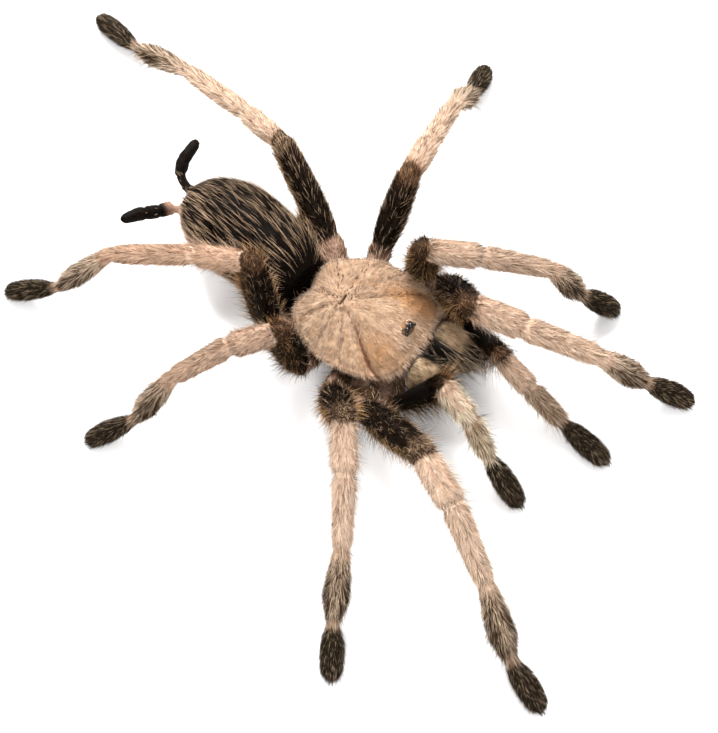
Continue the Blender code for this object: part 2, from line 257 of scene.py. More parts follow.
def setSockets(node, values):
    for name, value in values.items():
        node.inputs[name].default_value = value


def addNode(tree, kind, values=None):
    node = tree.nodes.new("ShaderNode" + kind)
    setSockets(node, values or {})
    return node


def wire(tree, start, output, end, socket):
    tree.links.new(start.outputs[output], end.inputs[socket])


def tintedMaterial(name, roughness, variation, grain, specular):
    # the piece's own tint, a little uneven from place to place
    material, tree, shader = nodeTree(name)
    tint = addNode(tree, "VertexColor")
    tint.layer_name = "tint"
    where = addNode(tree, "TexCoord")
    noise = addNode(tree, "TexNoise", {"Scale": grain, "Detail": 2})
    lift = addNode(tree, "MapRange", {"To Min": 1 - variation, "To Max": 1 + variation})
    shade = addNode(tree, "VectorMath")
    shade.operation = "SCALE"
    wire(tree, where, "Object", noise, "Vector")
    wire(tree, noise, "Fac", lift, "Value")
    wire(tree, tint, "Color", shade, 0)
    wire(tree, lift, "Result", shade, "Scale")
    wire(tree, shade, "Vector", shader, "Base Color")
    setSockets(shader, {"Roughness": roughness, "Specular IOR Level": specular})
    return material, tree, shader, where


def skinMaterial(name, roughness, variation, grain, bump, specular):
    # fine pits and wrinkles over the tint
    material, tree, shader, where = tintedMaterial(name, roughness, variation, grain, specular)
    pits = addNode(tree, "TexNoise", {"Scale": grain * 2, "Detail": 3})
    wrinkle = addNode(tree, "Bump", {"Strength": bump, "Distance": 0.1 * mm})
    wire(tree, where, "Object", pits, "Vector")
    wire(tree, pits, "Fac", wrinkle, "Height")
    wire(tree, wrinkle, "Normal", shader, "Normal")
    return material


def glossMaterial(name, colour, roughness, coat=0.0, specular=0.5):
    # hard shell or eye, slightly cloudy in its depth
    material, tree, shader = nodeTree(name)
    where = addNode(tree, "TexCoord")
    noise = addNode(tree, "TexNoise", {"Scale": 1500})
    ramp = addNode(tree, "ValToRGB")
    for element, share in zip(ramp.color_ramp.elements, (0.6, 1.5)):
        element.color = (*[min(1, c * share) for c in colour], 1)
    wire(tree, where, "Object", noise, "Vector")
    wire(tree, noise, "Fac", ramp, "Fac")
    wire(tree, ramp, "Color", shader, "Base Color")
    setSockets(shader, {"Roughness": roughness, "Specular IOR Level": specular,
                        "Coat Weight": coat, "Coat Roughness": 0.03})
    return material


furMaterial, *_ = tintedMaterial("fur", 0.8, 0.12, 900, 0.0)
shieldFurMaterial, *_ = tintedMaterial("shieldFur", 0.65, 0.14, 1400, 0.08)
softSkinMaterial = skinMaterial("softSkin", 0.6, 0.2, 1800, 0.3, 0.05)
shieldShellMaterial = skinMaterial("shieldShell", 0.6, 0.16, 1500, 0.3, 0.08)
jawShellMaterial = skinMaterial("jawShell", 0.5, 0.2, 1500, 0.3, 0.2)


# centre lines of the limbs, from the CAD solids
limbNames = [f"leg_{side}_{n}" for side in sides for n in (1, 2, 3, 4)]
palpNames = ["palp_" + side for side in sides]
kneeShare = {"1": 0.44, "2": 0.455, "3": 0.445, "4": 0.39, "t": 0.5}   # patella in patella_tibia
padShare = {"1": 0.575, "2": 0.56, "3": 0.58, "4": 0.615}                # metatarsus in metatarsus_tarsus
kinds = ["coxa", "femur", "patella", "tibia", "metatarsus", "tarsus", "abdomen", "under", "spinneret"]


def surfacePoints(co, tri, count, weight=None):
    area = areaOf(co, tri)
    if weight is not None:
        area = area * weight
    run = np.cumsum(area)
    face = np.searchsorted(run, rng.random(count) * run[-1])
    u, v = rng.random(count), rng.random(count)
    flip = u + v > 1
    u[flip], v[flip] = 1 - u[flip], 1 - v[flip]
    bary = np.stack([1 - u - v, u, v], 1)
    return np.einsum("ij,ijk->ik", bary, co[tri[face]]), face, bary


def centreLine(name, near, count):
    mesh = nodes[name].data
    points, _, _ = surfacePoints(vertsOf(mesh), trianglesOf(mesh), 5000)
    centre = points.mean(0)
    axis = np.linalg.svd(points - centre, full_matrices=False)[2][0]
    if (centre - near) @ axis < 0:
        axis = -axis
    along = (points - centre) @ axis
    edges = np.linspace(along.min(), along.max(), count + 1)
    line, radii = [], []
    for low, high in zip(edges, edges[1:]):
        part = points[(along >= low) & (along <= high)]
        spot = part.mean(0)
        flat = (part - spot) - np.outer((part - spot) @ axis, axis)
        line.append(spot)
        radii.append(np.linalg.norm(flat, axis=1).mean())
    line = [line[0] - (line[1] - line[0]) / 2] + line + [line[-1] + (line[-1] - line[-2]) / 2]
    radii = [radii[0]] + radii + [radii[-1]]
    return np.array(line), np.array(radii)


bones = []   # one row for each short stretch: start, end, radii, node index, share of the node's length
skinNodes, nodeLength, nodeRadius = [], [], []


def addBones(name, near, count):
    line, radii = centreLine(name, near, count)
    lengths = np.linalg.norm(np.diff(line, axis=0), axis=1)
    share = np.concatenate([[0], np.cumsum(lengths)]) / lengths.sum()
    index = len(skinNodes)
    skinNodes.append(name)
    nodeLength.append(lengths.sum())
    nodeRadius.append(radii.mean())
    for i in range(len(line) - 1):
        bones.append((line[i], line[i + 1], radii[i], radii[i + 1], index, share[i], share[i + 1]))
    return line[-1]


hub = place(0, 0, 5)
for limb in limbNames + palpNames:
    end = addBones(limb + "_coxa", hub, 2)
    end = addBones(limb + "_femur", end, 4)
    end = addBones(limb + "_patella_tibia", end, 9)
    isPalp = limb in palpNames
    addBones(limb + ("_tarsus" if isPalp else "_metatarsus_tarsus"), end, 4 if isPalp else 9)
addBones("abdomen", hub, 8)
addBones("pedicel", hub, 2)
addBones("sternum", place(12, 0, 4), 3)
addBones("labium", hub, 2)
for side in sides:
    addBones("spinneret_" + side, place(-22, 2, 7), 6)
boneStart, boneEnd, boneLow, boneHigh, boneNode, boneFrom, boneTo = map(np.array, zip(*bones))
print("centre lines for", len(skinNodes), "pieces of flesh")


def nodeKind(name, share):
    # the kind of segment and the share of its own length, from the share of the whole node
    kind = np.zeros(len(share), int)
    along = share.copy()
    if name.endswith("femur"):
        kind[:] = 1
    elif "tibia" in name or "metatarsus" in name:
        first = 2 if "tibia" in name else 4
        split = (kneeShare if first == 2 else padShare)[name.split("_")[2][0] if "leg" in name else "t"]
        kind[:] = np.where(share < split, first, first + 1)
        along = np.where(share < split, share / split, (share - split) / (1 - split))
    elif name.endswith("tarsus"):
        kind[:] = 5
    elif name == "abdomen":
        kind[:] = 6
    elif name in ("pedicel", "sternum", "labium"):
        kind[:] = 7
    elif name.startswith("spinneret"):
        kind[:] = 8
    return kind, along


def readPlace(points, only=None):
    # where each point is on the body: node, kind, share along the segment, limb direction, side
    best = np.full(len(points), 1e9)
    bone = np.zeros(len(points), int)
    at = np.zeros(len(points))
    for i in range(len(bones)):
        if only is not None and boneNode[i] not in only:
            continue
        way = boneEnd[i] - boneStart[i]
        t = np.clip((points - boneStart[i]) @ way / (way @ way), 0, 1)
        gap = np.linalg.norm(points - boneStart[i] - t[:, None] * way, axis=1)
        gap = gap - (boneLow[i] + (boneHigh[i] - boneLow[i]) * t)
        closer = gap < best
        best[closer], bone[closer], at[closer] = gap[closer], i, t[closer]
    node = boneNode[bone]
    share = boneFrom[bone] + (boneTo[bone] - boneFrom[bone]) * at
    way = unit(boneEnd[bone] - boneStart[bone])
    centre = boneStart[bone] + (boneEnd[bone] - boneStart[bone]) * at[:, None]
    kind = np.zeros(len(points), int)
    along = np.zeros(len(points))
    for index, name in enumerate(skinNodes):
        mine = node == index
        kind[mine], along[mine] = nodeKind(name, share[mine])
    out = unit(points - centre)
    up = unit(np.array([0, 0, 1.0]) - way * way[:, 2:3])
    across = np.cross(way, up)
    top, side = (out * up).sum(1), (out * across).sum(1)
    isPalp = np.isin(node, [i for i, n in enumerate(skinNodes) if n.startswith("palp")])
    lengths = np.array(nodeLength)[node]
    streak = np.stack([np.arctan2(side, top) * 2.0 * mm, share * lengths * 0.12, node * 7 * mm], 1)
    return SimpleNamespace(points=points, node=node, kind=kind, along=along, way=way, top=top,
                           side=side, palp=isPalp, streak=streak)


# markings shared by skin and coat
coatColours = {
    "tibiaPale": (0.80, 0.595, 0.45), "tibiaTan": (0.50, 0.31, 0.195), "tibiaDark": (0.19, 0.10, 0.053),
    "black": (0.003, 0.0018, 0.0012), "softBlack": (0.008, 0.005, 0.0033), "brown": (0.032, 0.0175, 0.0095),
    "rust": (0.24, 0.105, 0.042), "gold": (0.58, 0.40, 0.255), "honey": (0.30, 0.175, 0.08),
    "cream": (0.74, 0.59, 0.45),
    "shankDark": (0.050, 0.027, 0.013), "shankMid": (0.24, 0.16, 0.10), "shankPale": (0.60, 0.455, 0.33),
    "footDark": (0.011, 0.0075, 0.004), "footMid": (0.029, 0.019, 0.011), "footPale": (0.22, 0.16, 0.105),
    "pink": (0.52, 0.31, 0.225), "fuzz": (0.62, 0.47, 0.38), "bare": (0.205, 0.125, 0.088),
    "palpShin": (0.27, 0.165, 0.092), "palpPale": (0.62, 0.45, 0.30),
}
colours = asArrays(coatColours)
knees = np.array([boneStart[np.flatnonzero(boneNode == i)[0]] for i, n in enumerate(skinNodes) if "tibia" in n])
bareHips = [skinNodes.index(n + "_coxa") for n in ("leg_right_1", "leg_right_2", "palp_right")]
goldenLegs = [skinNodes.index(f"leg_{n}_{part}") for n in ("right_1", "right_2", "left_4")
               for part in ("femur", "patella_tibia")]
# factors on each shin's hair colour: painted light and shade, paler where light falls on a leg and darker where
# less falls
shinLightAndShade = {
    "leg_right_1_patella_tibia": (1.19, 1.20, 1.22), "leg_right_2_patella_tibia": (1.13, 1.14, 1.17),
    "leg_right_3_patella_tibia": (0.72, 0.66, 0.62), "leg_right_4_patella_tibia": (0.86, 0.75, 0.68),
    "leg_left_1_patella_tibia": (1.15, 1.14, 1.13), "leg_left_4_patella_tibia": (1.05, 1.07, 1.08),
    "palp_right_patella_tibia": (1.42, 1.38, 1.38),
}


def markings(spot):
    kind, along, top, side = spot.kind, spot.along, spot.top, spot.side
    c, count = colours, len(kind)
    streak = softNoise(spot.streak, 0.34 * mm, 3)
    lump = softNoise(spot.points, 1.5 * mm, 5)
    look = {"skin": np.tile(c.brown, (count, 1)), "low": np.tile(c.black, (count, 1)),
            "high": np.tile(c.brown, (count, 1)), "share": np.full(count, 0.5),
            "long": np.tile(c.gold, (count, 1)), "longDark": np.tile(c.black, (count, 1)),
            "longShare": np.full(count, 0.5), "bare": np.zeros(count), "cap": np.zeros(count)}

    def paint(mine, **values):
        for key, value in values.items():
            look[key][mine] = value

    m = kind == 0
    above = smoothStep(-0.4, 0.3, top[m])
    folded = np.isin(spot.node[m], bareHips) * above
    paint(m, skin=mix(c.brown * 1.3, c.bare * 1.15, smoothStep(0.35, 0.6, lump[m]) * (0.3 + 0.7 * above)),
          low=mix(mix(c.softBlack, c.brown, lump[m]), c.bare * 0.35, 0.7 * folded),
          high=mix(c.rust * 0.9, c.tibiaTan * 0.8, lump[m]), share=0.42 + 0.16 * folded,
          long=c.tibiaPale * 0.9, longDark=c.rust * 0.5, longShare=0.45,
          bare=(0.5 * above + 0.38 * folded) * smoothStep(0.38, 0.56, lump[m]))

    m = kind == 1
    below = smoothStep(-0.78, 0.05, -top[m])
    knee = smoothStep(0.84, 0.99, along[m])
    golden = np.isin(spot.node[m], goldenLegs)[:, None]
    paint(m, skin=mix(c.softBlack, c.brown, 0.4 * streak[m]),
          low=mix(c.black, c.brown, smoothStep(0.55, 0.9, streak[m]) * 0.8),
          high=mix(mix(c.brown * 1.3, c.honey, below) * (1 + 0.7 * golden), c.rust, knee),
          share=np.clip(0.05 + 0.46 * below + 0.15 * knee, 0, 1),
          long=mix(mix(c.gold * 0.8, c.honey * (1.35 + 0.5 * golden), below), c.rust * 1.4, 0.5 * knee),
          longDark=c.black, longShare=0.15 + 0.5 * below + 0.15 * knee)
    mine = m & spot.palp
    look["share"][mine] *= 0.5
    look["longShare"][mine] *= 0.5
    look["skin"][mine] = c.black
    look["long"][mine] = mix(look["long"][mine], c.black, smoothStep(-0.2, 0.2, top[mine]))
    look["bare"][mine] = 0.95 * smoothStep(0.05, 0.35, top[mine]) * (1 - smoothStep(0.72, 0.86, along[mine]))

    m = (kind == 2) | (kind == 3)
    ring = (1 - smoothStep(0.0, 0.13, along[m])) * (kind[m] == 2)
    joint = smoothStep(0.93, 1.0, along[m]) + (kind[m] == 3) * (1 - smoothStep(0.0, 0.06, along[m]))
    stripe = np.exp(-((np.abs(side[m]) - 0.40) / 0.11) ** 2) * (top[m] > 0) * (kind[m] == 2)
    stripe = stripe * smoothStep(0.12, 0.3, along[m]) * (1 - smoothStep(0.72, 0.92, along[m]))
    base = mix(c.tibiaTan * 0.75, c.tibiaPale * 0.8, streak[m])
    paint(m, skin=mix(mix(base, c.pink * 0.75, stripe), c.rust * 0.7, ring),
          low=mix(mix(c.tibiaDark * 1.4, c.tibiaTan, streak[m]), c.rust * 0.8, ring),
          high=mix(c.tibiaPale, c.rust * 1.5, 0.6 * ring),
          share=np.clip(0.70 + 0.25 * (streak[m] - 0.5) - 0.35 * ring - 0.15 * joint, 0, 1),
          long=mix(c.tibiaPale, c.cream, lump[m]), longDark=c.tibiaDark,
          longShare=0.82 - 0.3 * ring, bare=stripe * 0.75)

    m = (kind == 1) | (kind == 2)   # shaggy brown and gold hair over each knee
    gone = np.linalg.norm(spot.points[m][:, None] - knees[None], axis=2).min(1) / mm
    cap = 1 - smoothStep(1.5, 2.9, gone + 0.9 * (streak[m] - 0.5) + 0.9 * (lump[m] - 0.5))
    cap = cap * np.where(spot.palp[m], 0.3, 1.0)
    golden = np.where(np.isin(spot.node[m], goldenLegs), 1.0, 0.25) + 0.25 * (streak[m] - 0.5)
    look["cap"][m] = cap
    paint(m, low=mix(look["low"][m], c.brown * 0.8, cap), skin=mix(look["skin"][m], c.brown, cap),
          high=mix(look["high"][m], mix(c.rust * 1.1, c.gold * 0.85, golden), cap),
          long=mix(look["long"][m], mix(c.rust * 1.7, c.gold, golden), 0.85 * cap),
          share=look["share"][m] * (1 - cap) + (0.40 + 0.30 * golden) * cap,
          longShare=look["longShare"][m] * (1 - cap) + 0.6 * cap)

    m = (kind == 3) & spot.palp
    body = smoothStep(0.0, 0.1, along[m]) * (1 - smoothStep(0.9, 1.0, along[m]))
    paint(m, skin=mix(look["skin"][m], c.palpShin * 0.5, body), low=mix(look["low"][m], c.palpShin, body),
          high=mix(look["high"][m], c.palpPale, body), share=0.6 - 0.15 * body)

    for name, tone in shinLightAndShade.items():   # painted light and shade on each listed shin
        m = ((kind == 2) | (kind == 3)) & (spot.node == skinNodes.index(name))
        for key in ("low", "high", "long"):
            look[key][m] = np.minimum(look[key][m] * np.array(tone), 0.93)

    m = kind == 4
    body = smoothStep(0.02, 0.2, along[m]) * (1 - smoothStep(0.88, 0.99, along[m]))
    padded = smoothStep(0.28, 0.62, np.abs(side[m])) * smoothStep(0.2, 0.45, along[m])
    padded = np.maximum(padded, smoothStep(0.0, 0.4, -top[m]) * smoothStep(0.2, 0.45, along[m]))
    tone = mix(c.shankDark * 1.4, c.shankMid * 1.2, smoothStep(0.3, 0.7, streak[m]))
    paint(m, skin=mix(c.tibiaTan * 0.7, c.shankDark, body),
          low=mix(c.tibiaTan * 0.8, mix(tone, c.footDark, padded), body),
          high=mix(c.tibiaPale, mix(c.shankPale, c.shankMid, padded), body),
          share=np.clip(0.75 - 0.20 * body - 0.25 * padded, 0, 1),
          long=mix(c.shankPale * 1.15, c.shankPale * 0.8, padded), longDark=c.shankDark,
          longShare=0.78 - 0.25 * padded)

    m = kind == 5
    body = smoothStep(0.0, 0.14, along[m])
    paint(m, skin=mix(c.tibiaTan * 0.5, c.footDark, body),
          low=mix(c.shankDark, mix(c.footDark, c.footMid, streak[m]), body),
          high=mix(c.shankPale, c.footPale, body), share=0.42 - 0.24 * body,
          long=c.footPale * 1.4, longDark=c.footMid, longShare=0.45)

    m = kind == 6
    low = smoothStep(-0.38, 0.05, -top[m]) * smoothStep(0.3, 0.6, along[m])
    low = low * (1 - 0.92 * smoothStep(0.35, 0.85, -top[m] + 0.5 * (lump[m] - 0.5)))
    tail = smoothStep(0.955, 0.995, along[m])
    fuzz = np.clip(low + tail * 0.4, 0, 1) * (1 - 0.45 * tail)
    paint(m, skin=mix(mix(c.black, c.softBlack, lump[m]), c.pink * 0.6, fuzz * (1 - tail)),
          low=mix(mix(c.black, c.softBlack, streak[m]), c.tibiaTan * 0.9, fuzz),
          high=mix(c.brown, c.fuzz * 1.15, fuzz), share=0.02 + 0.75 * fuzz,
          long=mix(c.gold * 0.92, c.tibiaPale, fuzz), longDark=c.black, longShare=0.42 + 0.5 * fuzz)

    m = kind == 7
    paint(m, low=c.softBlack, high=c.brown * 1.4, share=0.3, long=c.gold * 0.5, longShare=0.2)

    m = kind == 8
    base = np.array([boneStart[np.flatnonzero(boneNode == n)[0]] for n in spot.node[m]]).reshape(-1, 3)
    root = 1 - smoothStep(1.3 * mm, 2.6 * mm, np.linalg.norm(spot.points[m] - base, axis=1))
    crease = np.exp(-((along[m] - 0.52) / 0.025) ** 2) + np.exp(-((along[m] - 0.30) / 0.025) ** 2)
    paint(m, skin=mix(mix(c.softBlack * 0.8, c.black * 0.5, crease), c.pink * 0.6, root),
          low=mix(c.black, c.tibiaDark, root), high=mix(c.softBlack, c.pink * 1.2, root),
          share=0.25 + 0.5 * root, long=c.pink * 1.3, longDark=c.black, longShare=0.02 + 0.85 * root)
    return look


# skin: the flesh made one surface, lying under the coat
skinShape = {
    "voxel": 0.375,         # size of the skin's facets, mm
    "closeGaps": 0.26,      # swelling that closes the cuts between solids, mm
    "smoothing": 5,
    "coatDepth": {"coxa": 0.30, "femur": 0.22, "patella": 0.24, "tibia": 0.24, "metatarsus": 0.30,
                  "tarsus": 0.34, "abdomen": 0.30, "under": 0.3, "spinneret": -0.05},
    "spinneretJoints": (0.30, 0.56),   # shares of a spinneret's length
    "kneeCrease": 0.34,                # depth of the ring between patella and tibia, mm
    "fills": (   # soft flesh, each row its middle and radii
        ((-0.5, 0.0, 5.7), (8.3, 7.2, 1.75)),   # under the shield
        ((8.1, 0.0, 6.2), (3.0, 5.3, 1.8)),     # behind the jaws
        ((-9.2, 0.0, 4.5), (3.9, 6.7, 2.0)),    # at the waist
    ),
}


def ball(middleSpot, radii, segments=32, rings=20):
    deselectAll()
    spot = place(*middleSpot)
    bpy.ops.mesh.primitive_uv_sphere_add(segments=segments, ring_count=rings, radius=mm, location=spot)
    obj = bpy.context.active_object
    size = (radii[1], radii[0], radii[2])
    editMesh(lambda: bpy.ops.transform.resize(value=size, center_override=Vector(spot)))
    bpy.ops.object.transform_apply(location=True, rotation=True, scale=True)
    obj.data.shade_smooth()
    return obj


def buildSkin():
    copies = []
    for name in skinNodes:
        copy = nodeCopy(name, name + "_copy")
        swell = copy.modifiers.new("swell", "DISPLACE")
        swell.strength = skinShape["closeGaps"] * mm
        swell.mid_level = 0
        applyAll(copy)
        copies.append(copy)
    fills = [ball(middleSpot, radii) for middleSpot, radii in skinShape["fills"]]
    skin = joinAll(copies + fills, "skin")
    remesh = skin.modifiers.new("remesh", "REMESH")
    remesh.mode = "VOXEL"
    remesh.voxel_size = skinShape["voxel"] * mm
    smooth = skin.modifiers.new("smooth", "SMOOTH")
    smooth.factor = 0.5
    smooth.iterations = skinShape["smoothing"]
    applyAll(skin)
    mesh = skin.data
    co = vertsOf(mesh)
    spot = readPlace(co)
    kind = spot.kind
    depth = np.array([skinShape["coatDepth"][k] for k in kinds])[kind]
    for crease in skinShape["spinneretJoints"]:
        depth = depth + 0.16 * (kind == 8) * np.exp(-((spot.along - crease) / 0.03) ** 2)
    kneeEnd = np.where(kind == 2, (1 - spot.along) * 0.8, np.where(kind == 3, spot.along, 9))
    depth = depth + skinShape["kneeCrease"] * np.exp(-(kneeEnd / 0.055) ** 2)
    depth = depth - 0.13 * (kind == 2) * np.exp(-((spot.along - 0.84) / 0.08) ** 2)
    co = co - normalsOf(mesh) * ((depth + skinShape["closeGaps"]) * mm)[:, None]
    co[:, 2] = np.maximum(co[:, 2], 0.05 * mm)
    setVerts(mesh, co)
    mesh.shade_smooth()
    return skin


skin = buildSkin()
skinCo = vertsOf(skin.data)
skinTri = trianglesOf(skin.data)
skinNormal = normalsOf(skin.data)
setTint(skin.data, markings(readPlace(skinCo))["skin"])
print("skin", len(skinTri), "triangles")


# unwrap of the skin's own shape: one upright strip for every node
def packStrips(names):
    # lays each node's strip in rows across the unit square, tall ones first
    sizes = {n: (2 * math.pi * nodeRadius[skinNodes.index(n)], nodeLength[skinNodes.index(n)] * 1.15)
             for n in names}
    order = sorted(names, key=lambda n: -sizes[n][1])
    wide = math.sqrt(sum(w * h for w, h in sizes.values())) * 1.15
    spots, x, y, tall = {}, 0, 0, 0
    for n in order:
        w, h = sizes[n]
        if x + w > wide and x > 0:
            x, y, tall = 0, y + tall * 1.03, 0
        spots[n] = (x, y, w, h)
        x, tall = x + w * 1.06, max(tall, h)
    full = max(y + tall, max(sx + w for sx, _, w, _ in spots.values()))
    return {n: tuple(v / full for v in spot) for n, spot in spots.items()}


nodeAxis = []
for index, name in enumerate(skinNodes):
    mine = boneNode == index
    start, end = boneStart[mine][0], boneEnd[mine][-1]
    way = unit(end - start)
    across = unit(np.cross(way, [0.1, 0.2, 1.0]))
    nodeAxis.append((start, way, np.linalg.norm(end - start), across, np.cross(way, across)))


def unwrap(points, node, spots, like=None):
    # the place on the node's strip: around its straight axis, and along it
    uv = np.zeros((len(points), 2))
    turn = np.zeros(len(points))
    for index in np.unique(node):
        mine = node == index
        start, way, length, across, upward = nodeAxis[index]
        rel = points[mine] - start
        angle = np.arctan2(rel @ upward, rel @ across) / (2 * math.pi)
        if like is not None:
            angle = like[mine] + (angle - like[mine] + 0.5) % 1 - 0.5
        turn[mine] = angle
        x, y, w, h = spots[skinNodes[index]]
        uv[mine, 0] = x + w * (0.5 + angle * 0.94)
        uv[mine, 1] = y + h * np.clip(0.06 + 0.88 * (rel @ way) / length, 0, 1)
    return uv, turn


def faceLoops(mesh):
    loopVert = readField(mesh.loops, "vertex_index")
    counts = readField(mesh.polygons, "loop_total")
    face = np.repeat(np.arange(len(counts)), counts)
    co = vertsOf(mesh)
    centre = np.zeros((len(counts), 3))
    np.add.at(centre, face, co[loopVert])
    return co, loopVert, face, centre / counts[:, None]


def setUnwrap(mesh, uv):
    layer = mesh.uv_layers.get("OFBake") or mesh.uv_layers.new(name="OFBake")
    layer.data.foreach_set("uv", np.clip(uv, 0, 1).astype(np.float32).ravel())
    layer.active = layer.active_render = True


def unwrapSkin(obj):
    spots = packStrips(skinNodes)
    co, loopVert, face, centre = faceLoops(obj.data)
    node = readPlace(centre).node
    _, turn = unwrap(centre, node, spots)
    uv, _ = unwrap(co[loopVert], node[face], spots, turn[face])
    setUnwrap(obj.data, uv)


unwrapSkin(skin)
finishPiece(skin, softSkinMaterial, "shin_coat", *skinNodes)


# tufts: closed tapering locks rooted on a surface
tuftShape = {"sunk": 0.06, "ridge": 0.45, "floorGap": 0.02, "patch": 0.003}   # mm, a share, mm, share of the map


def tufts(parts, bent, keep=slice(None)):
    # tilt is the rise off the skin at the root and droop how far the tip leans back, in radians
    root, normal, flow, length, width, tilt, droop, low, high, uv = [part[keep] for part in parts]
    normal = unit(normal)
    flow = unit(flow - normal * (flow * normal).sum(1, keepdims=True))
    cast = lambda angle: flow * np.cos(angle)[:, None] + normal * np.sin(angle)[:, None]
    first, second = unit(cast(tilt)), unit(cast(tilt - droop))
    side = unit(np.cross(flow, normal))
    ridge = unit(np.cross(side, first))
    ridge = ridge * np.where((ridge * normal).sum(1, keepdims=True) < 0, -1, 1)
    base = root - normal * (tuftShape["sunk"] * mm)
    wide, tall = side * width[:, None] / 2, ridge * width[:, None] * tuftShape["ridge"]
    ring = [base - wide, base + wide, base + tall]
    flip = ((np.cross(ring[1] - ring[0], ring[2] - ring[0]) * first).sum(1) < 0)[:, None]
    ring[0], ring[1] = np.where(flip, ring[1], ring[0]), np.where(flip, ring[0], ring[1])
    if bent:
        mid = root + first * (length * 0.5)[:, None]
        rings = ring + [mid + (r - base) * 0.75 for r in ring]
        tip = mid + second * (length * 0.5)[:, None]
        rows = [(0, 2, 1), (0, 1, 4), (0, 4, 3), (1, 2, 5), (1, 5, 4), (2, 0, 3), (2, 3, 5),
                (3, 4, 6), (4, 5, 6), (5, 3, 6)]
        shade = [0, 0, 0, 0.7, 0.7, 0.7, 1]
        patch = [(0, 0), (1, 0), (0.5, 0.2), (0, 0.6), (1, 0.6), (0.5, 0.8), (0.5, 1)]
    else:
        rings = ring
        tip = root + unit(first + second) * length[:, None]
        rows = [(0, 2, 1), (0, 1, 3), (1, 2, 3), (2, 0, 3)]
        shade = [0, 0, 0, 1]
        patch = [(0, 0), (1, 0), (0.5, 0.3), (0.5, 1)]
    verts = np.stack(rings + [tip], 1)
    verts[..., 2] = np.maximum(verts[..., 2], tuftShape["floorGap"] * mm)
    each = verts.shape[1]
    faces = (np.array(rows)[None] + (np.arange(len(root)) * each)[:, None, None]).reshape(-1, 3)
    # each lock darkens from its tip (high) to its root (low): painted shade deep in the coat
    shade = np.array(shade)[None, :, None]
    tints = low[:, None] * (1 - shade) + high[:, None] * shade
    spots = uv[:, None] + (np.array(patch)[None] - 0.5) * tuftShape["patch"]
    return verts.reshape(-1, 3), faces, tints.reshape(-1, 3), spots.reshape(-1, 2)


def tuftPiece(name, layers, material, slot):
    start, faces = 0, []
    for layer in layers:
        faces.append(layer[1] + start)
        start += len(layer[0])
    verts, tints, spots = [np.concatenate([layer[i] for layer in layers]) for i in (0, 2, 3)]
    faces = np.concatenate(faces)
    mesh = bpy.data.meshes.new(name)
    mesh.vertices.add(len(verts))
    mesh.vertices.foreach_set("co", verts.astype(np.float32).ravel())
    mesh.loops.add(len(faces) * 3)
    mesh.loops.foreach_set("vertex_index", faces.astype(np.int32).ravel())
    mesh.polygons.add(len(faces))
    mesh.polygons.foreach_set("loop_start", np.arange(0, len(faces) * 3, 3, dtype=np.int32))
    mesh.polygons.foreach_set("loop_total", np.full(len(faces), 3, np.int32))
    mesh.update(calc_edges=True)
    mesh.shade_smooth()
    setTint(mesh, tints)
    setUnwrap(mesh, spots[faces.ravel()])
    finishPiece(addObject(name, mesh), material, slot)
    print(name, len(faces), "triangles")


def lean(points, size, seed, clumped, loose):
    # neighbouring hairs lean the same way, and each a little on its own
    drift = np.stack([softNoise(points, size, seed + i) - 0.5 for i in range(3)], 1) * 2
    return drift * clumped + rng.normal(size=points.shape) * loose


# for each kind: hairs per square mm, shortest and longest, width (mm), rise and its scatter (degrees)
coatPlan = {
    "short": {
        "coxa": (23, 0.5, 1.3, 0.08, 26, 13), "femur": (30, 0.6, 1.3, 0.07, 12, 6),
        "patella": (52, 0.7, 1.5, 0.053, 10, 5), "tibia": (52, 0.7, 1.5, 0.053, 10, 5),
        "metatarsus": (42, 0.6, 1.4, 0.065, 12, 6), "tarsus": (41, 0.5, 1.0, 0.07, 14, 6),
        "abdomen": (30, 0.9, 1.9, 0.07, 9, 4), "under": (14, 0.5, 1.0, 0.09, 22, 10),
        "spinneret": (60, 0.18, 0.32, 0.07, 22, 8),
    },
    "long": {
        "coxa": (5, 1.2, 2.6, 0.06, 38, 15), "femur": (5, 1.5, 3.0, 0.052, 20, 9),
        "patella": (7, 1.2, 2.4, 0.046, 22, 10), "tibia": (7, 1.3, 2.6, 0.046, 23, 11),
        "metatarsus": (7, 1.3, 2.4, 0.055, 21, 9), "tarsus": (4.5, 0.9, 1.5, 0.055, 15, 6),
        "abdomen": (3.3, 3.0, 6.2, 0.052, 5, 2.5), "under": (1.5, 0.9, 1.8, 0.08, 30, 12),
        "spinneret": (3, 0.5, 1.0, 0.06, 30, 10),
    },
    "bristle": {
        "coxa": (1.2, 1.3, 2.4, 0.06, 54, 14), "femur": (2.6, 1.3, 2.8, 0.06, 48, 13),
        "patella": (6.0, 1.0, 2.6, 0.050, 50, 14), "tibia": (6.8, 1.0, 3.0, 0.050, 50, 14),
        "metatarsus": (4.0, 1.0, 2.3, 0.058, 46, 13), "tarsus": (0.6, 0.7, 1.2, 0.05, 38, 12),
        "abdomen": (0.7, 2.0, 3.6, 0.055, 26, 9), "under": (0.3, 0.8, 1.6, 0.06, 50, 12),
        "spinneret": (0, 0.5, 0.6, 0.05, 30, 8),
    },
}
coatThickness = 1.0
faceCentre = skinCo[skinTri].mean(1)
facePlace = readPlace(faceCentre)


def rootsOn(co, tri, normals, weight, density=1):
    # random places on a surface, so many for each square mm of weight, and the normals there
    count = int((areaOf(co, tri) * weight).sum() / mm ** 2 * density * coatThickness)
    root, face, bary = surfacePoints(co, tri, count, weight)
    return count, root, unit(np.einsum("ij,ijk->ik", bary, normals[tri[face]]))


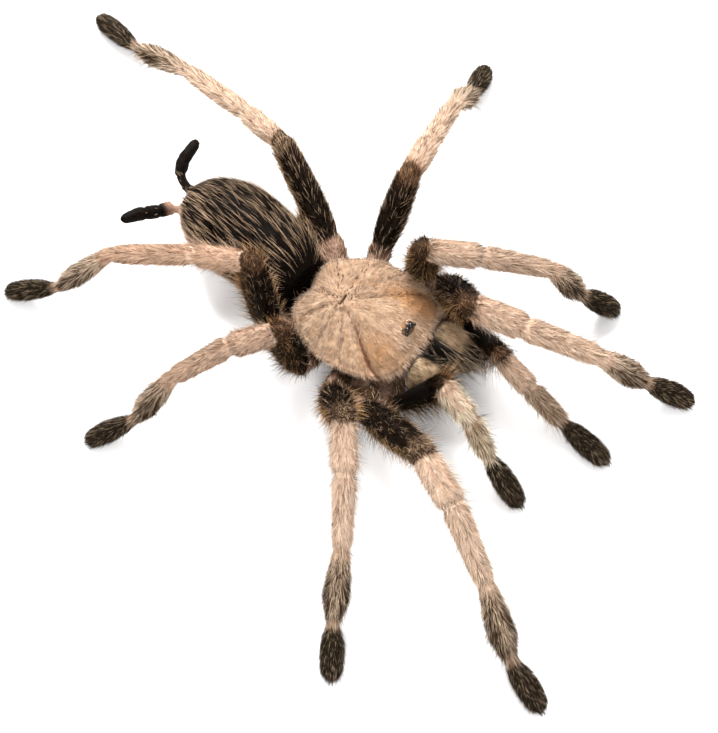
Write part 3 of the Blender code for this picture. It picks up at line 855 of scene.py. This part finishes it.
def skinLayer(layer, nodeNames, spots):
    plan = np.array([coatPlan[layer][k] for k in kinds])
    index = [skinNodes.index(n) for n in nodeNames]
    weight = np.isin(facePlace.node, index) * plan[facePlace.kind, 0]
    weight = weight * (1 - 0.35 * smoothStep(0.35, 0.75, -facePlace.top))   # thinner underneath
    if layer != "short":   # the palps' thighs are the shaggiest
        weight = weight * np.where((facePlace.kind == 1) & facePlace.palp, 3.0, 1.0)
    weight = weight * (faceCentre[:, 2] > 0.12 * mm)
    count, root, normal = rootsOn(skinCo, skinTri, skinNormal, weight)
    spot = readPlace(root, index)
    look = markings(spot)
    kind = spot.kind
    _, shortest, longest, width, rise, scatter = plan[kind].T
    length = (shortest + (longest - shortest) * rng.random(count) ** 1.5) * mm
    width = width * (0.65 + 0.6 * rng.random(count)) * mm
    tilt = np.radians(rise + scatter * rng.normal(size=count))
    calm = np.where(kind == 6, 0.5, 1.0)[:, None]
    loose = {"short": 0.12, "long": 0.10, "bristle": 0.25}[layer]
    flow = spot.way + calm * lean(root, 0.7 * mm, 11, 0.12, loose)
    tilt = tilt + (softNoise(root, 0.5 * mm, 21) - 0.5) * 0.16
    # the pads of the feet stand out at their sides
    pad = (kind == 5) | ((kind == 4) & (spot.along > 0.3) & (spot.along < 0.9))
    pad = pad * smoothStep(0.35, 0.8, np.abs(spot.side)) * (spot.top < 0.8)
    tilt = tilt + pad * np.radians(13)
    # the thighs' undersides are bearded, the palps' most
    beard = (kind == 1) * smoothStep(np.where(spot.palp, 0.0, -0.65), 0.5, -spot.top)
    beard = beard * np.where(spot.palp, 1.6, 0.6)
    tilt = tilt + beard * np.radians(20) + look["cap"] * np.radians(13)
    tilt = tilt * np.where((kind == 1) & spot.palp & (spot.top > -0.25), 0.4, 1.0)
    length = length * (1 + 0.55 * beard) * (1 - 0.5 * (kind == 1) * smoothStep(0.88, 0.97, spot.along))
    # dark hair at the belly's front closes the gap to the shield
    collar = (kind == 6) * (1 - smoothStep(0.03, 0.13, spot.along))
    tilt = tilt + collar * np.radians(50)
    length = np.where(collar > 0.3, np.minimum(length * 1.6, 2.6 * mm), length)
    look["share"], look["longShare"] = look["share"] * (1 - collar), look["longShare"] * (1 - collar)
    # the belly's strands hug its curve and shorten to its end
    belly = (kind == 6) * smoothStep(0.5, 1.0, spot.along)
    length = length * (1 - 0.5 * belly)
    droop = np.radians(9 + 21 * (kind == 6) + 14 * belly) * (0.3 + 0.7 * rng.random(count))
    chance = rng.random(count)
    if layer == "short":
        pale = chance < look["share"]
        high = np.where(pale[:, None], look["high"], look["low"])
        # roots darker than tips: painted shade deep in the coat
        low = mix(high, look["skin"], 0.35) * 0.75
    elif layer == "long":
        pale = chance < look["longShare"]
        high = np.where(pale[:, None], look["long"], look["longDark"])
        # roots a little darker than tips: painted shade
        low = high * 0.8
    else:
        high = np.where((chance < 0.6)[:, None], colours.softBlack * 1.6, look["long"])
        low = high
    keep = rng.random(count) > look["bare"]
    bright = (0.8 + 0.4 * rng.random(count))[:, None]
    tilt = np.clip(tilt, 0.04, 1.4)
    uv, _ = unwrap(root, spot.node, spots)
    return tufts((root, normal, flow, length, width, tilt, droop, low * bright, high * bright, uv),
                 layer == "long", keep)


def coatOf(name, nodeNames, slot):
    spots = packStrips(nodeNames)
    tuftPiece(name, [skinLayer(layer, nodeNames, spots) for layer in coatPlan], furMaterial, slot)


def named(*endings, side=""):
    return [n for n in skinNodes if side in n and n.endswith(endings)]


coatOf("coatHips", named("coxa"), "hip_coat")
for side in sides:
    thighs, feet = named("femur", side=side), named("tarsus", side=side)
    for part, pairs in (("Front", ("palp", "_1_", "_2_")), ("Rear", ("_3_", "_4_"))):
        ending = side.title() + part
        coatOf("coatThighs" + ending, [n for n in thighs if any(p in n for p in pairs)], "thigh_coat")
        coatOf("coatFeet" + ending, [n for n in feet if any(p in n for p in pairs)], "foot_coat")
    for pair in ("_1_", "_2_", "_3_", "_4_"):
        shins = [n for n in named("patella_tibia", side=side) if pair in n]
        if pair == "_1_":
            shins += named("patella_tibia", side="palp_" + side)
        coatOf("coatShin" + side.title() + pair[1], shins, "shin_coat")
coatOf("coatAbdomen", ["abdomen", "spinneret_left", "spinneret_right"], "abdomen_coat")
coatOf("coatUnderside", ["pedicel", "sternum", "labium"], "underside")


# shield over the front half of the body
shield = {
    "outline": ((shieldFront, 0), (9.8, 3.6), (8.9, 6.8), (6.0, 8.6), (1.5, 9.4), (-3.0, 9.0), (-6.6, 7.2),
                (-9.0, 4.9), (-9.5, 2.6), (-8.6, 0)),            # forward and half width
    "edgeUp": 7.6, "edgeDepth": 0.5, "thoraxRise": 2.0,
    "headRise": 2.1, "headBack": -2.5, "headTop": 5.5, "headHalfWidths": (2.9, 9.6),
    "crest": (0.28, 2.3, 1.0),                                    # rise, half width and edge of the head's flat top
    "pit": (-3.3, 0.8),                                           # slot in the middle: forward, half length
    "coatDepth": 0.14, "edgeCoat": 0.3,
    "grooves": (   # forward and side along each groove, depth, width, redness
        (((-2.6, 0.9), (0.5, 2.9), (3.6, 5.6), (5.6, 7.0), (7.4, 7.6)), 0.42, 0.55, 1.0),
        (((-2.9, 1.3), (-0.7, 4.6), (1.2, 8.4)), 0.20, 0.45, 0.25),
        (((-3.5, 1.4), (-3.3, 4.6), (-2.9, 8.2)), 0.20, 0.45, 0.25),
        (((-4.2, 1.1), (-6.0, 3.4), (-7.6, 5.3)), 0.22, 0.45, 0.3),
        (((-4.0, 0.0), (-6.0, 0.1), (-8.0, 0.0)), 0.16, 0.5, 0.2),
    ),
    "rings": 150, "segments": 240,
}
shieldTones = {
    "pale": (0.78, 0.585, 0.44), "blond": (0.55, 0.37, 0.24), "tan": (0.31, 0.18, 0.105),
    "orange": (0.43, 0.215, 0.088), "red": (0.12, 0.042, 0.022), "dark": (0.03, 0.016, 0.009),
}
shieldColours = asArrays(shieldTones)
outlineTurn = np.radians(np.arange(-180, 180.5, 0.5))
outlineReach = np.interp(np.abs(outlineTurn), [math.atan2(h, a) for a, h in shield["outline"]],
                         [math.hypot(a, h) for a, h in shield["outline"]])
kernel = np.exp(-(np.arange(-16, 17) / 7) ** 2)
outlineReach = np.convolve(np.concatenate([outlineReach[-17:-1], outlineReach, outlineReach[1:17]]),
                           kernel / kernel.sum(), "valid")


def shieldSpread(ahead, out):
    # 0 at the middle, 1 at the outline
    return np.clip(np.hypot(ahead, out) / np.interp(np.arctan2(out, ahead), outlineTurn, outlineReach), 0, 1)


def shieldWorld(ahead, out, up):
    return np.stack([middle.x + out * mm, middle.y - ahead * mm, up * mm], 1)


def shieldUnwrap(ahead, out):
    return np.stack([0.5 + out / 21 * 0.96, 0.5 + ahead / 21 * 0.96], 1)


def lineGap(ahead, out, line):
    # distance to a line of points, and how far along it the nearest place is
    best, at = np.full(np.shape(ahead), 1e9), np.zeros(np.shape(ahead))
    for i, (a, b) in enumerate(zip(line, line[1:])):
        a, b = np.array(a), np.array(b)
        way = b - a
        t = np.clip(((ahead - a[0]) * way[0] + (out - a[1]) * way[1]) / (way @ way), 0, 1)
        gap = np.hypot(ahead - a[0] - t * way[0], out - a[1] - t * way[1])
        closer = gap < best
        best, at = np.where(closer, gap, best), np.where(closer, (i + t) / (len(line) - 1), at)
    return best, at


def slotGap(ahead, out):
    at, half = shield["pit"]
    return lineGap(ahead, out, ((at, -half), (at, half)))[0]


def shieldUp(ahead, out):
    spread = shieldSpread(ahead, out)
    s = shield
    up = s["edgeUp"] + s["thoraxRise"] * (1 - spread ** 2.4)
    climb = smoothStep(s["headBack"], s["headTop"], ahead)
    fall = 1 - 0.55 * smoothStep(s["headTop"] + 1.5, shieldFront, ahead)
    back, front = s["headHalfWidths"]
    half = back + (front - back) * smoothStep(s["headBack"], 8.9, ahead)
    up = up + s["headRise"] * climb * fall * np.maximum(0, 1 - (out / half) ** 2) ** 2
    rise, wide, soft = s["crest"]
    up = up + rise * climb * fall * (1 - smoothStep(wide - soft, wide + soft, np.abs(out)))
    up = up - 0.30 * np.exp(-(np.hypot(ahead - s["pit"][0], out * 0.7) / 1.0) ** 2)
    up = up - 0.40 * np.exp(-(slotGap(ahead, out) / 0.16) ** 2)
    for line, depth, wide, _ in s["grooves"]:
        gap, at = lineGap(ahead, np.abs(out), line)
        fade = smoothStep(0, 0.12, at) * (1 - 0.7 * smoothStep(0.75, 1.0, at))
        up = up - depth * fade * np.exp(-(gap / wide) ** 2)
    grain = np.stack([ahead * mm, out * mm, np.zeros_like(ahead)], -1)
    up = up + (softNoise(grain, 0.9 * mm, 41) - 0.5) * 0.10 + (softNoise(grain, 0.35 * mm, 43) - 0.5) * 0.05
    rim = smoothStep(0.93, 1.0, spread)
    return up + 0.10 * np.exp(-((spread - 0.95) / 0.03) ** 2) - 0.12 * rim


def streaks(ahead, out):
    # narrow pale lines that fan out from the pit over the sides and rear
    turn = np.arctan2(out, ahead - shield["pit"][0])
    gone = np.hypot(out, ahead - shield["pit"][0])
    spot = np.stack([turn * 6 * mm, gone * 0.10 * mm, np.zeros_like(turn)], 1)
    lines = smoothStep(0.56, 0.72, softNoise(spot, 0.55 * mm, 77))
    return lines * smoothStep(1.5, 3.0, gone) * (1 - 0.6 * smoothStep(2.0, 6.0, ahead))


def shieldTint(ahead, out):
    # how orange, red and dark the shield is at each place
    wander = softNoise(np.stack([ahead, out, out * 0], -1) * mm, 1.3 * mm, 79) - 0.5
    orange = np.exp(-(((ahead - 5.4 + wander) / 3.4) ** 2 + ((np.abs(out) - 5.0 - wander) / 1.9) ** 2))
    orange = np.clip(orange * np.where(out > 0, 1.6, 0.65), 0, 1)
    red = np.zeros_like(ahead)
    for i, (line, _, wide, redness) in enumerate(shield["grooves"]):
        gap, at = lineGap(ahead, np.abs(out), line)
        strength = redness * np.exp(-(gap / (wide * 0.42)) ** 2) * smoothStep(0.1, 0.3, at)
        red = np.maximum(red, strength * np.where((out < 0) | (i > 0), 1.0, 0.45))
    return orange, red, np.exp(-(slotGap(ahead, out) / 0.22) ** 2)


def buildShield():
    s = shield
    obj = unitSphere("shieldShell", s["segments"], s["rings"])
    co = vertsOf(obj.data)
    turn = np.arctan2(co[:, 0], -co[:, 1])
    fall = np.arccos(np.clip(co[:, 2], -1, 1)) / (math.pi / 2)
    spread = np.where(fall <= 1, fall, 2 - fall)
    reach = np.interp(turn, outlineTurn, outlineReach) - s["edgeCoat"]
    ahead, out = reach * spread * np.cos(turn), reach * spread * np.sin(turn)
    top = shieldUp(ahead, out) - s["coatDepth"]
    front = smoothStep(s["headTop"], shieldFront, ahead)
    under = s["edgeUp"] - s["edgeDepth"] * (0.55 + 0.45 * smoothStep(0, 0.3, 1 - spread))
    under = under + s["headRise"] * 0.45 * front * np.maximum(0, 1 - (out / 9.6) ** 2)
    up = np.where(fall <= 1, top, np.minimum(under, top - 0.1))
    world = shieldWorld(ahead, out, up)
    setVerts(obj.data, world)
    editMesh(faceOutward)
    obj.data.shade_smooth()
    orange, red, dark = shieldTint(ahead, out)
    c = shieldColours
    grain = softNoise(world, 0.8 * mm, 47)
    tint = mix(c.tan, c.blond, grain) * 0.7
    tint = mix(tint, c.orange, 0.8 * orange)
    tint = mix(mix(tint, c.red, red), c.dark, dark)
    # the shell's underside darkened to a deep tan: painted shade under the rim
    tint = mix(tint, c.tan * 0.4, (fall > 1) * 1.0)
    setTint(obj.data, tint)
    corners, loopVert, face, centre = faceLoops(obj.data)
    forward, left, _ = bodyPlace(corners[loopVert])
    below = centre[face][:, 2] < shieldMiddleUp(centre[face])
    setUnwrap(obj.data, np.stack([0.25 + left / 21 * 0.48 + 0.5 * below, 0.5 + forward / 21 * 0.96], 1))
    return obj


def shieldMiddleUp(points):
    ahead, out, _ = bodyPlace(points)
    spread = shieldSpread(ahead, out)
    return (shieldUp(ahead, out) - 0.3 - 0.3 * (1 - spread)) * mm


shieldShell = buildShield()
finishPiece(shieldShell, shieldShellMaterial, "shield", "carapace")
print("shield", len(trianglesOf(shieldShell.data)), "triangles")

shieldCoat = {
    "density": 106, "shortest": 0.3, "longest": 0.65, "width": 0.052, "rise": 7, "scatter": 4,
    "longDensity": 7, "longShortest": 0.9, "longLongest": 1.7,
    "fringePerMm": 22, "fringe": (0.8, 1.8), "specks": 0.26,
}


def shieldFlow(ahead, out):
    # hairs stream out from the pit, and straight forward over the head
    radial = np.stack([ahead - shield["pit"][0], out], 1)
    radial = radial / np.maximum(np.hypot(*radial.T)[:, None], 0.3)
    head = smoothStep(2.0, 7.0, ahead)[:, None]
    flow = radial * (1 - head) + np.stack([np.ones_like(ahead), out * 0.05], 1) * head
    return np.stack([flow[:, 1], -flow[:, 0], np.zeros(len(flow))], 1)


def buildShieldCoat():
    plan, c = shieldCoat, shieldColours
    mesh = shieldShell.data
    co, tri, normals = vertsOf(mesh), trianglesOf(mesh), normalsOf(mesh)
    centre = co[tri].mean(1)
    upper = (centre[:, 2] > shieldMiddleUp(centre)).astype(float)
    layers = []
    for bent in (False, True):
        dens = plan["longDensity"] if bent else plan["density"]
        count, root, normal = rootsOn(co, tri, normals, upper, dens)
        ahead, out, _ = bodyPlace(root)
        orange, red, dark = shieldTint(ahead, out)
        eyeGap = np.hypot(ahead - moundAhead, out / 1.25)
        low, high = (plan["longShortest"], plan["longLongest"]) if bent else (plan["shortest"], plan["longest"])
        length = (low + (high - low) * rng.random(count)) * mm
        width = plan["width"] * (0.7 + 0.6 * rng.random(count)) * mm
        tilt = np.radians(plan["rise"] + plan["scatter"] * rng.normal(size=count)) + bent * 0.12
        tilt = np.clip(tilt + (softNoise(root, 0.5 * mm, 61) - 0.5) * 0.2, 0.04, 1.2)
        flow = shieldFlow(ahead, out) + lean(root, 0.8 * mm, 51, 0.24, 0.16)
        chance = rng.random(count)
        gone = ahead - shield["pit"][0]
        wave = softNoise(np.stack([np.arctan2(out, gone) * 5 * mm, np.hypot(gone, out) * 0.15 * mm,
                                   root[:, 2] * 0], 1), 0.42 * mm, 71)
        tone = np.clip(chance * 0.6 + wave * 0.75 - 0.18 + 0.2 * bent, 0, 1)
        tint = np.where(tone[:, None] > 0.5, mix(c.blond, c.pale, (tone - 0.5) * 2),
                        mix(c.tan, c.blond, tone * 2))
        rows = streaks(ahead, out)
        tint = mix(tint, c.pale * 1.25, 0.7 * rows * (1 - orange))
        tint = mix(tint, c.orange * (1.0 + 0.25 * chance[:, None]), 0.9 * orange)
        tint = mix(mix(tint, c.red, 0.8 * red), c.dark, dark)
        head = smoothStep(1, 7, ahead) * (1 - smoothStep(3.2, 6.2, np.abs(out)))
        tint = tint * (0.71 - 0.09 * smoothStep(4, 8, np.abs(out)) + 0.64 * head * (1 - 0.6 * orange))[:, None]
        keep = (eyeGap > 0.95) & (rng.random(count) > 0.8 * dark)
        bright = (0.85 + 0.3 * rng.random(count))[:, None]
        droop = np.radians(25) * rng.random(count)
        # roots at 0.7 of the tip's colour: painted shade deep in the coat
        layers.append(tufts((root, normal, flow, length, width, tilt, droop, tint * 0.7 * bright, tint * bright,
                             shieldUnwrap(ahead, out)), bent, keep))
    # pale fringe all round the edge, longest over the jaws
    turn = rng.random(int(58 * plan["fringePerMm"] * coatThickness)) * 2 * math.pi - math.pi
    count = len(turn)
    reach = np.interp(turn, outlineTurn, outlineReach) - shield["edgeCoat"] - 0.25 * rng.random(count)
    ahead, out = reach * np.cos(turn), reach * np.sin(turn)
    root = shieldWorld(ahead, out, shieldUp(ahead, out) - shield["coatDepth"])
    outward = np.stack([np.sin(turn), -np.cos(turn), np.zeros(count)], 1)
    normal = unit(outward * 0.35 + np.array([0, 0, 1.0]))
    atFront = smoothStep(6.5, 9.0, ahead)
    flow = outward + np.array([0, -1.0, 0]) * atFront[:, None] + lean(root, 0.8 * mm, 81, 0.3, 0.12)
    low, high = plan["fringe"]
    length = (0.4 + 0.6 * atFront) * (low + (high - low) * rng.random(count)) * mm
    tint = mix(c.tan * 1.3, c.pale, rng.random(count)) * (0.8 + 0.3 * rng.random(count))[:, None]
    tilt = np.radians(4 + 14 * rng.random(count))
    droop = np.radians(30) * rng.random(count)
    # roots at 0.75 of the tip's colour: painted shade
    layers.append(tufts((root, normal, flow, length, np.full(count, 0.06 * mm), tilt, droop, tint * 0.75, tint,
                         shieldUnwrap(ahead, out)), True))
    # short dark spikes in rows along the grooves
    spots = []
    for i, (line, _, _, _) in enumerate(shield["grooves"]):
        for side in (-1, 1):
            for a, b in zip(line, line[1:]):
                steps = int(math.dist(a, b) / plan["specks"])
                for t in rng.random(steps):
                    spots.append((a[0] + (b[0] - a[0]) * t, side * (a[1] + (b[1] - a[1]) * t)))
    for _ in range(24):
        around, gone = rng.random() * 2 * math.pi, 0.5 + 1.3 * rng.random()
        spots.append((shield["pit"][0] + gone * math.cos(around) * 0.8, gone * math.sin(around)))
    spots = np.array(spots) + rng.normal(size=(len(spots), 2)) * 0.22
    spots = spots[rng.random(len(spots)) < 0.8]
    ahead, out = spots.T
    root = shieldWorld(ahead, out, shieldUp(ahead, out) - 0.05)
    count = len(root)
    tint = mix(np.tile(c.dark, (count, 1)), c.tan * 0.6, rng.random(count))
    width = (0.11 + 0.06 * rng.random(count)) * mm
    upright, length = np.tile([0, 0, 1.0], (count, 1)), np.full(count, 0.42 * mm)
    layers.append(tufts((root, upright, shieldFlow(ahead, out), length, width, np.full(count, 0.95),
                         np.zeros(count), tint, tint, shieldUnwrap(ahead, out)), False))
    tuftPiece("coatShield", layers, shieldFurMaterial, "shield")


buildShieldCoat()


# eyes on their mound
eyes = {
    "mound": ((moundAhead, 0.0, 10.72), (1.0, 1.22, 0.82)),
    "front": {"middle": ((0.34, 0.42, 0.44), 0.42), "outer": ((0.60, 1.00, 0.10), 0.26)},
    "rear": {"middle": ((-0.40, 0.74, 0.40), 0.20), "outer": ((-0.32, 1.06, 0.14), 0.20)},
}


def buildEyes():
    spot, radii = eyes["mound"]
    mound = ball(spot, radii, 64, 40)
    mound.name = mound.data.name = "eyeMound"
    co = vertsOf(mound.data)
    ahead, out, up = bodyPlace(co)
    bump = softNoise(co, 0.25 * mm, 91) - 0.5
    setVerts(mound.data, co + normalsOf(mound.data) * (bump * 0.06 * mm)[:, None])
    amber = 1 - smoothStep(-0.45, 0.0, ahead - spot[0] + bump * 0.8)
    amber = np.maximum(amber, 0.8 * smoothStep(0.75, 1.05, np.abs(out) + bump * 0.5))
    amber = np.maximum(amber, 0.45 * smoothStep(0.6, 0.9, ahead - spot[0] + bump * 0.5))
    tint = mix(np.array([0.008, 0.005, 0.003]), np.array([0.17, 0.082, 0.034]), amber)
    tint = tint * (0.5 + softNoise(co, 0.3 * mm, 93))[:, None]
    setTint(mound.data, tint)
    finishPiece(mound, skinMaterial("moundShell", 0.35, 0.3, 2500, 0.25, 0.2), "eye_mound", "eye_tubercle")
    for row, colour in (("front", (0.003, 0.002, 0.002)), ("rear", (0.42, 0.36, 0.28))):
        balls, replaced = [], []
        for key, ((a, o, u), radius) in eyes[row].items():
            for name, side in sides.items():
                at = (spot[0] + a, spot[1] + side * o, spot[2] + u)
                balls.append(ball(at, (radius, radius, radius * 0.92)))
                where = {"front": "anterior", "rear": "posterior"}[row]
                replaced.append(f"eye_{where}_{'median' if key == 'middle' else 'lateral'}_{name}")
        piece = joinAll(balls, row + "Eyes")
        finishPiece(piece, glossMaterial(row + "Eye", colour, 0.07, specular=0.4), "eye", *replaced)


buildEyes()
print("eyes and mound")


# jaws
jaw = {
    "middle": (12.5, 3.15, 6.05), "radii": (4.9, 3.0, 2.9), "droop": 14, "narrowing": 0.3, "back": 10.3,
    "coatDepth": 0.16,
}
jawColours = {
    "left": ((0.61, 0.42, 0.255), (0.26, 0.165, 0.09)), "right": ((0.66, 0.46, 0.28), (0.21, 0.134, 0.072)),
    "flankAndShadow": (0.012, 0.008, 0.005), "pale": (0.62, 0.48, 0.34),
}


def jawFrame(sideName):
    # a jaw's own directions, and its middle
    side = sides[sideName]
    droop = math.radians(jaw["droop"])
    ahead, out, up = jaw["middle"]
    forward = np.array([0, -math.cos(droop), -math.sin(droop)])
    upward = np.array([0, -math.sin(droop), math.cos(droop)])
    return forward, upward, np.array([float(side), 0, 0]), place(ahead, side * out, up)


def jawTone(points, normals, sideName):
    # 1 on the domed top, 0 on the dark flanks and on the rear under the shield's front edge, where the dark is
    # painted shadow; and the tint there
    _, upward, outward, _ = jawFrame(sideName)
    up = normals @ unit(upward + 0.9 * outward) + 0.18 * (softNoise(points, 0.7 * mm, 95) - 0.5)
    ahead, _, _ = bodyPlace(points)
    # the rear of each jaw, under the shield's front edge, takes the dark flank colour as a painted shadow
    top = smoothStep(0.20, 0.52, up) * smoothStep(10.2, 11.2, ahead) * (1 - 0.9 * smoothStep(14.3, 16.0, ahead))
    light, shade = [np.array(v) for v in jawColours[sideName]]
    grain = softNoise(points, 0.5 * mm, 97)
    return top, mix(jawColours["flankAndShadow"], mix(shade, light, grain), top)


def buildJaw(sideName):
    forward, upward, outward, centre = jawFrame(sideName)
    obj = unitSphere("jaw" + sideName.title(), 72, 56)
    co = vertsOf(obj.data)
    narrow = 1 - jaw["narrowing"] * np.maximum(0, co[:, 2]) ** 2
    long, wide, tall = jaw["radii"]
    world = (centre + forward * (co[:, 2:3] * long * mm) + outward * (co[:, 0] * wide * narrow * mm)[:, None]
             + upward * (co[:, 1] * tall * narrow * mm)[:, None])
    setVerts(obj.data, world)
    back = place(jaw["back"], 0, 0)
    editMesh(lambda: bpy.ops.mesh.bisect(plane_co=back, plane_no=(0, 1, 0), use_fill=True, clear_outer=True),
             faceOutward)
    co, normals = vertsOf(obj.data), normalsOf(obj.data)
    setVerts(obj.data, co - normals * jaw["coatDepth"] * mm)
    obj.data.shade_smooth()
    _, tint = jawTone(co, normals, sideName)
    setTint(obj.data, tint * 0.7)
    finishPiece(obj, jawShellMaterial, "jaw", "chelicera_" + sideName)
    return obj.data


jawCoat = {"density": 78, "length": (0.35, 0.9), "width": 0.055, "rise": 15,
           "longDensity": 19, "long": (1.6, 4.2), "longWidth": 0.05}


def buildJawCoat():
    plan, layers = jawCoat, []
    for sideName, side in sides.items():
        mesh = buildJaw(sideName)
        forward, upward, outward, centre = jawFrame(sideName)
        co, tri, normals = vertsOf(mesh), trianglesOf(mesh), normalsOf(mesh)
        visible = (unit(faceCross(co, tri))[:, 1] < 0.9).astype(float)   # all but the flat back
        for bent in (False, True):
            dens = plan["longDensity"] if bent else plan["density"]
            count, root, normal = rootsOn(co, tri, normals, visible, dens)
            top, tint = jawTone(root, normal, sideName)
            rel = root - centre
            along = rel @ forward / mm / jaw["radii"][0]
            brush = smoothStep(-0.2, 0.7, along)   # the front of each jaw carries a brush of long hairs
            flow = forward + outward * 0.25 * np.sin(along * 1.5)[:, None] + lean(root, 0.7 * mm, 101, 0.28, 0.13)
            flow = flow - upward * (0.45 * brush * (1 - top))[:, None]
            low, high = plan["long"] if bent else plan["length"]
            length = (low + (high - low) * rng.random(count) ** 1.4) * mm * (1 + 0.3 * brush * (1 - top))
            tilt = np.radians(plan["rise"] + 8 * rng.normal(size=count)) + 0.16 * bent * (1 - top)
            chance = rng.random(count)
            if bent:
                pale = chance < 0.32
                tint = np.where(pale[:, None], np.array(jawColours["pale"]), np.array(jawColours["flankAndShadow"]))
                keep = rng.random(count) < (1.0 - 0.88 * top) * (0.3 + 0.7 * brush)
            else:
                tint = tint * (0.5 + 1.0 * chance)[:, None]
                keep = np.ones(count, bool)
            uv = np.stack([0.25 + 0.5 * (side < 0) + 0.2 * np.arctan2(rel @ upward, rel @ outward) / math.pi,
                           0.5 + 0.44 * along], 1)
            width = np.full(count, plan["longWidth" if bent else "width"] * mm) * (0.7 + 0.5 * rng.random(count))
            droop = np.radians(28) * rng.random(count)
            # roots at 0.7 of the tip's colour: painted shade deep in the coat
            layers.append(tufts((root, normal, flow, length, width, np.clip(tilt, 0.04, 1.2), droop, tint * 0.7,
                                 tint, uv), bent, keep))
    tuftPiece("coatJaws", layers, furMaterial, "jaw")


buildJawCoat()


# fangs folded under the jaws, and the paired claws at the feet
hooks = {
    "fang": {"route": ((15.9, 2.9, 3.2), (16.3, 2.9, 1.9), (14.2, 2.65, 1.1), (10.7, 2.1, 1.5)),
             "radii": (0.80, 0.72, 0.50, 0.06)},
    "claw": {"length": 0.75, "radius": 0.09, "spread": 0.22},
}


def hook(name, route, radii, resolution=12, bevel=6):
    # a tapering curved hook, drawn as a path and made a mesh
    deselectAll()
    bpy.ops.curve.primitive_nurbs_path_add(location=(0, 0, 0))
    obj = bpy.context.active_object
    obj.name = name
    spline = obj.data.splines[0]
    if len(spline.points) < len(route):
        spline.points.add(len(route) - len(spline.points))
    points = list(route) + [route[-1]] * (len(spline.points) - len(route))
    radii = list(radii) + [radii[-1]] * (len(spline.points) - len(radii))
    for point, spot, radius in zip(spline.points, points, radii):
        point.co = (*spot, 1)
        point.radius = radius
    spline.use_endpoint_u = True
    spline.order_u = 4
    obj.data.resolution_u = resolution
    obj.data.bevel_depth = mm
    obj.data.bevel_resolution = bevel
    obj.data.use_fill_caps = True
    bpy.ops.object.convert(target="MESH")
    obj = bpy.context.active_object
    editMesh(mergeClose, faceOutward)
    obj.data.shade_smooth()
    return obj


def buildHooks():
    shell = glossMaterial("blackHorn", (0.012, 0.007, 0.006), 0.18, 0.4)
    for name, side in sides.items():
        route = [place(a, side * o, u) for a, o, u in hooks["fang"]["route"]]
        fang = hook("fang" + name.title(), route, hooks["fang"]["radii"])
        finishPiece(fang, shell, "fang", "fang_" + name)
    claw, made = hooks["claw"], []
    for node in [n for n in skinNodes if n.endswith("tarsus")]:
        index = skinNodes.index(node)
        last = np.flatnonzero(boneNode == index)[-1]
        tip, way = boneEnd[last], unit(boneEnd[last] - boneStart[last])
        flat = unit(np.cross(way, [0, 0, 1.0]))
        above = np.cross(flat, way)
        for side in (-1, 1):
            start = tip - way * 0.35 * mm + flat * side * claw["spread"] * mm
            length = claw["length"] * mm
            route = [start, start + way * length * 0.5 + above * length * 0.25,
                     start + way * length * 0.95 + above * length * 0.05,
                     start + way * length - above * length * 0.35]
            radii = [claw["radius"], claw["radius"] * 0.85, claw["radius"] * 0.55, 0.01]
            made.append(hook("claw", [np.maximum(p, [-1, -1, 0.03 * mm]) for p in route], radii, 4, 2))
    finishPiece(joinAll(made, "claws"), shell, "fang")


buildHooks()
print("fangs and claws")


# floor, light and camera
view = {"azimuth": -58.4, "elevation": 62.3, "distance": 0.2962, "lens": 99.65, "aim": (1.85, -4.0)}
lamps = {   # place, size and power
    "key": ((0.42, 0.40, 0.62), 0.5, 19.0),
    "fill": ((-0.42, -0.25, 0.5), 0.14, 2.2),
}


def buildStage():
    deselectAll()
    bpy.ops.mesh.primitive_plane_add(size=3)
    floor = bpy.context.active_object
    floor.name = "floor"
    material, _, shader = nodeTree("paleFloor")
    setSockets(shader, {"Base Color": (0.95, 0.95, 0.955, 1), "Emission Color": (1, 1, 1, 1),
                        "Emission Strength": 0.05, "Roughness": 0.9})
    floor.data.materials.append(material)
    world = bpy.data.worlds.new("studio")
    bpy.context.scene.world = world
    world.use_nodes = True
    setSockets(world.node_tree.nodes["Background"], {"Color": (1, 1, 1, 1), "Strength": 1.04})
    for name, (spot, size, power) in lamps.items():
        light = bpy.data.lights.new(name, "AREA")
        light.shape = "DISK"
        light.size = size
        light.energy = power
        lamp = addObject(name, light)
        lamp.location = spot
        lamp.rotation_euler = Vector(spot).to_track_quat("Z", "Y").to_euler()


def buildCamera():
    turn, rise = math.radians(view["azimuth"]), math.radians(view["elevation"])
    back = Vector((math.sin(turn) * math.cos(rise), -math.cos(turn) * math.cos(rise), math.sin(rise)))
    camera = bpy.data.cameras.new("camera")
    camera.lens = view["lens"]
    camera.sensor_width = 36
    camera.clip_start = 0.01
    stand = addObject("camera", camera)
    target = Vector(place(view["aim"][0], view["aim"][1], 0))
    stand.location = target + back * view["distance"]
    stand.rotation_euler = back.to_track_quat("Z", "Y").to_euler()
    bpy.context.scene.camera = stand


buildStage()
buildCamera()
bpy.context.scene.view_settings.view_transform = "Standard"
print("stage, lights and camera")
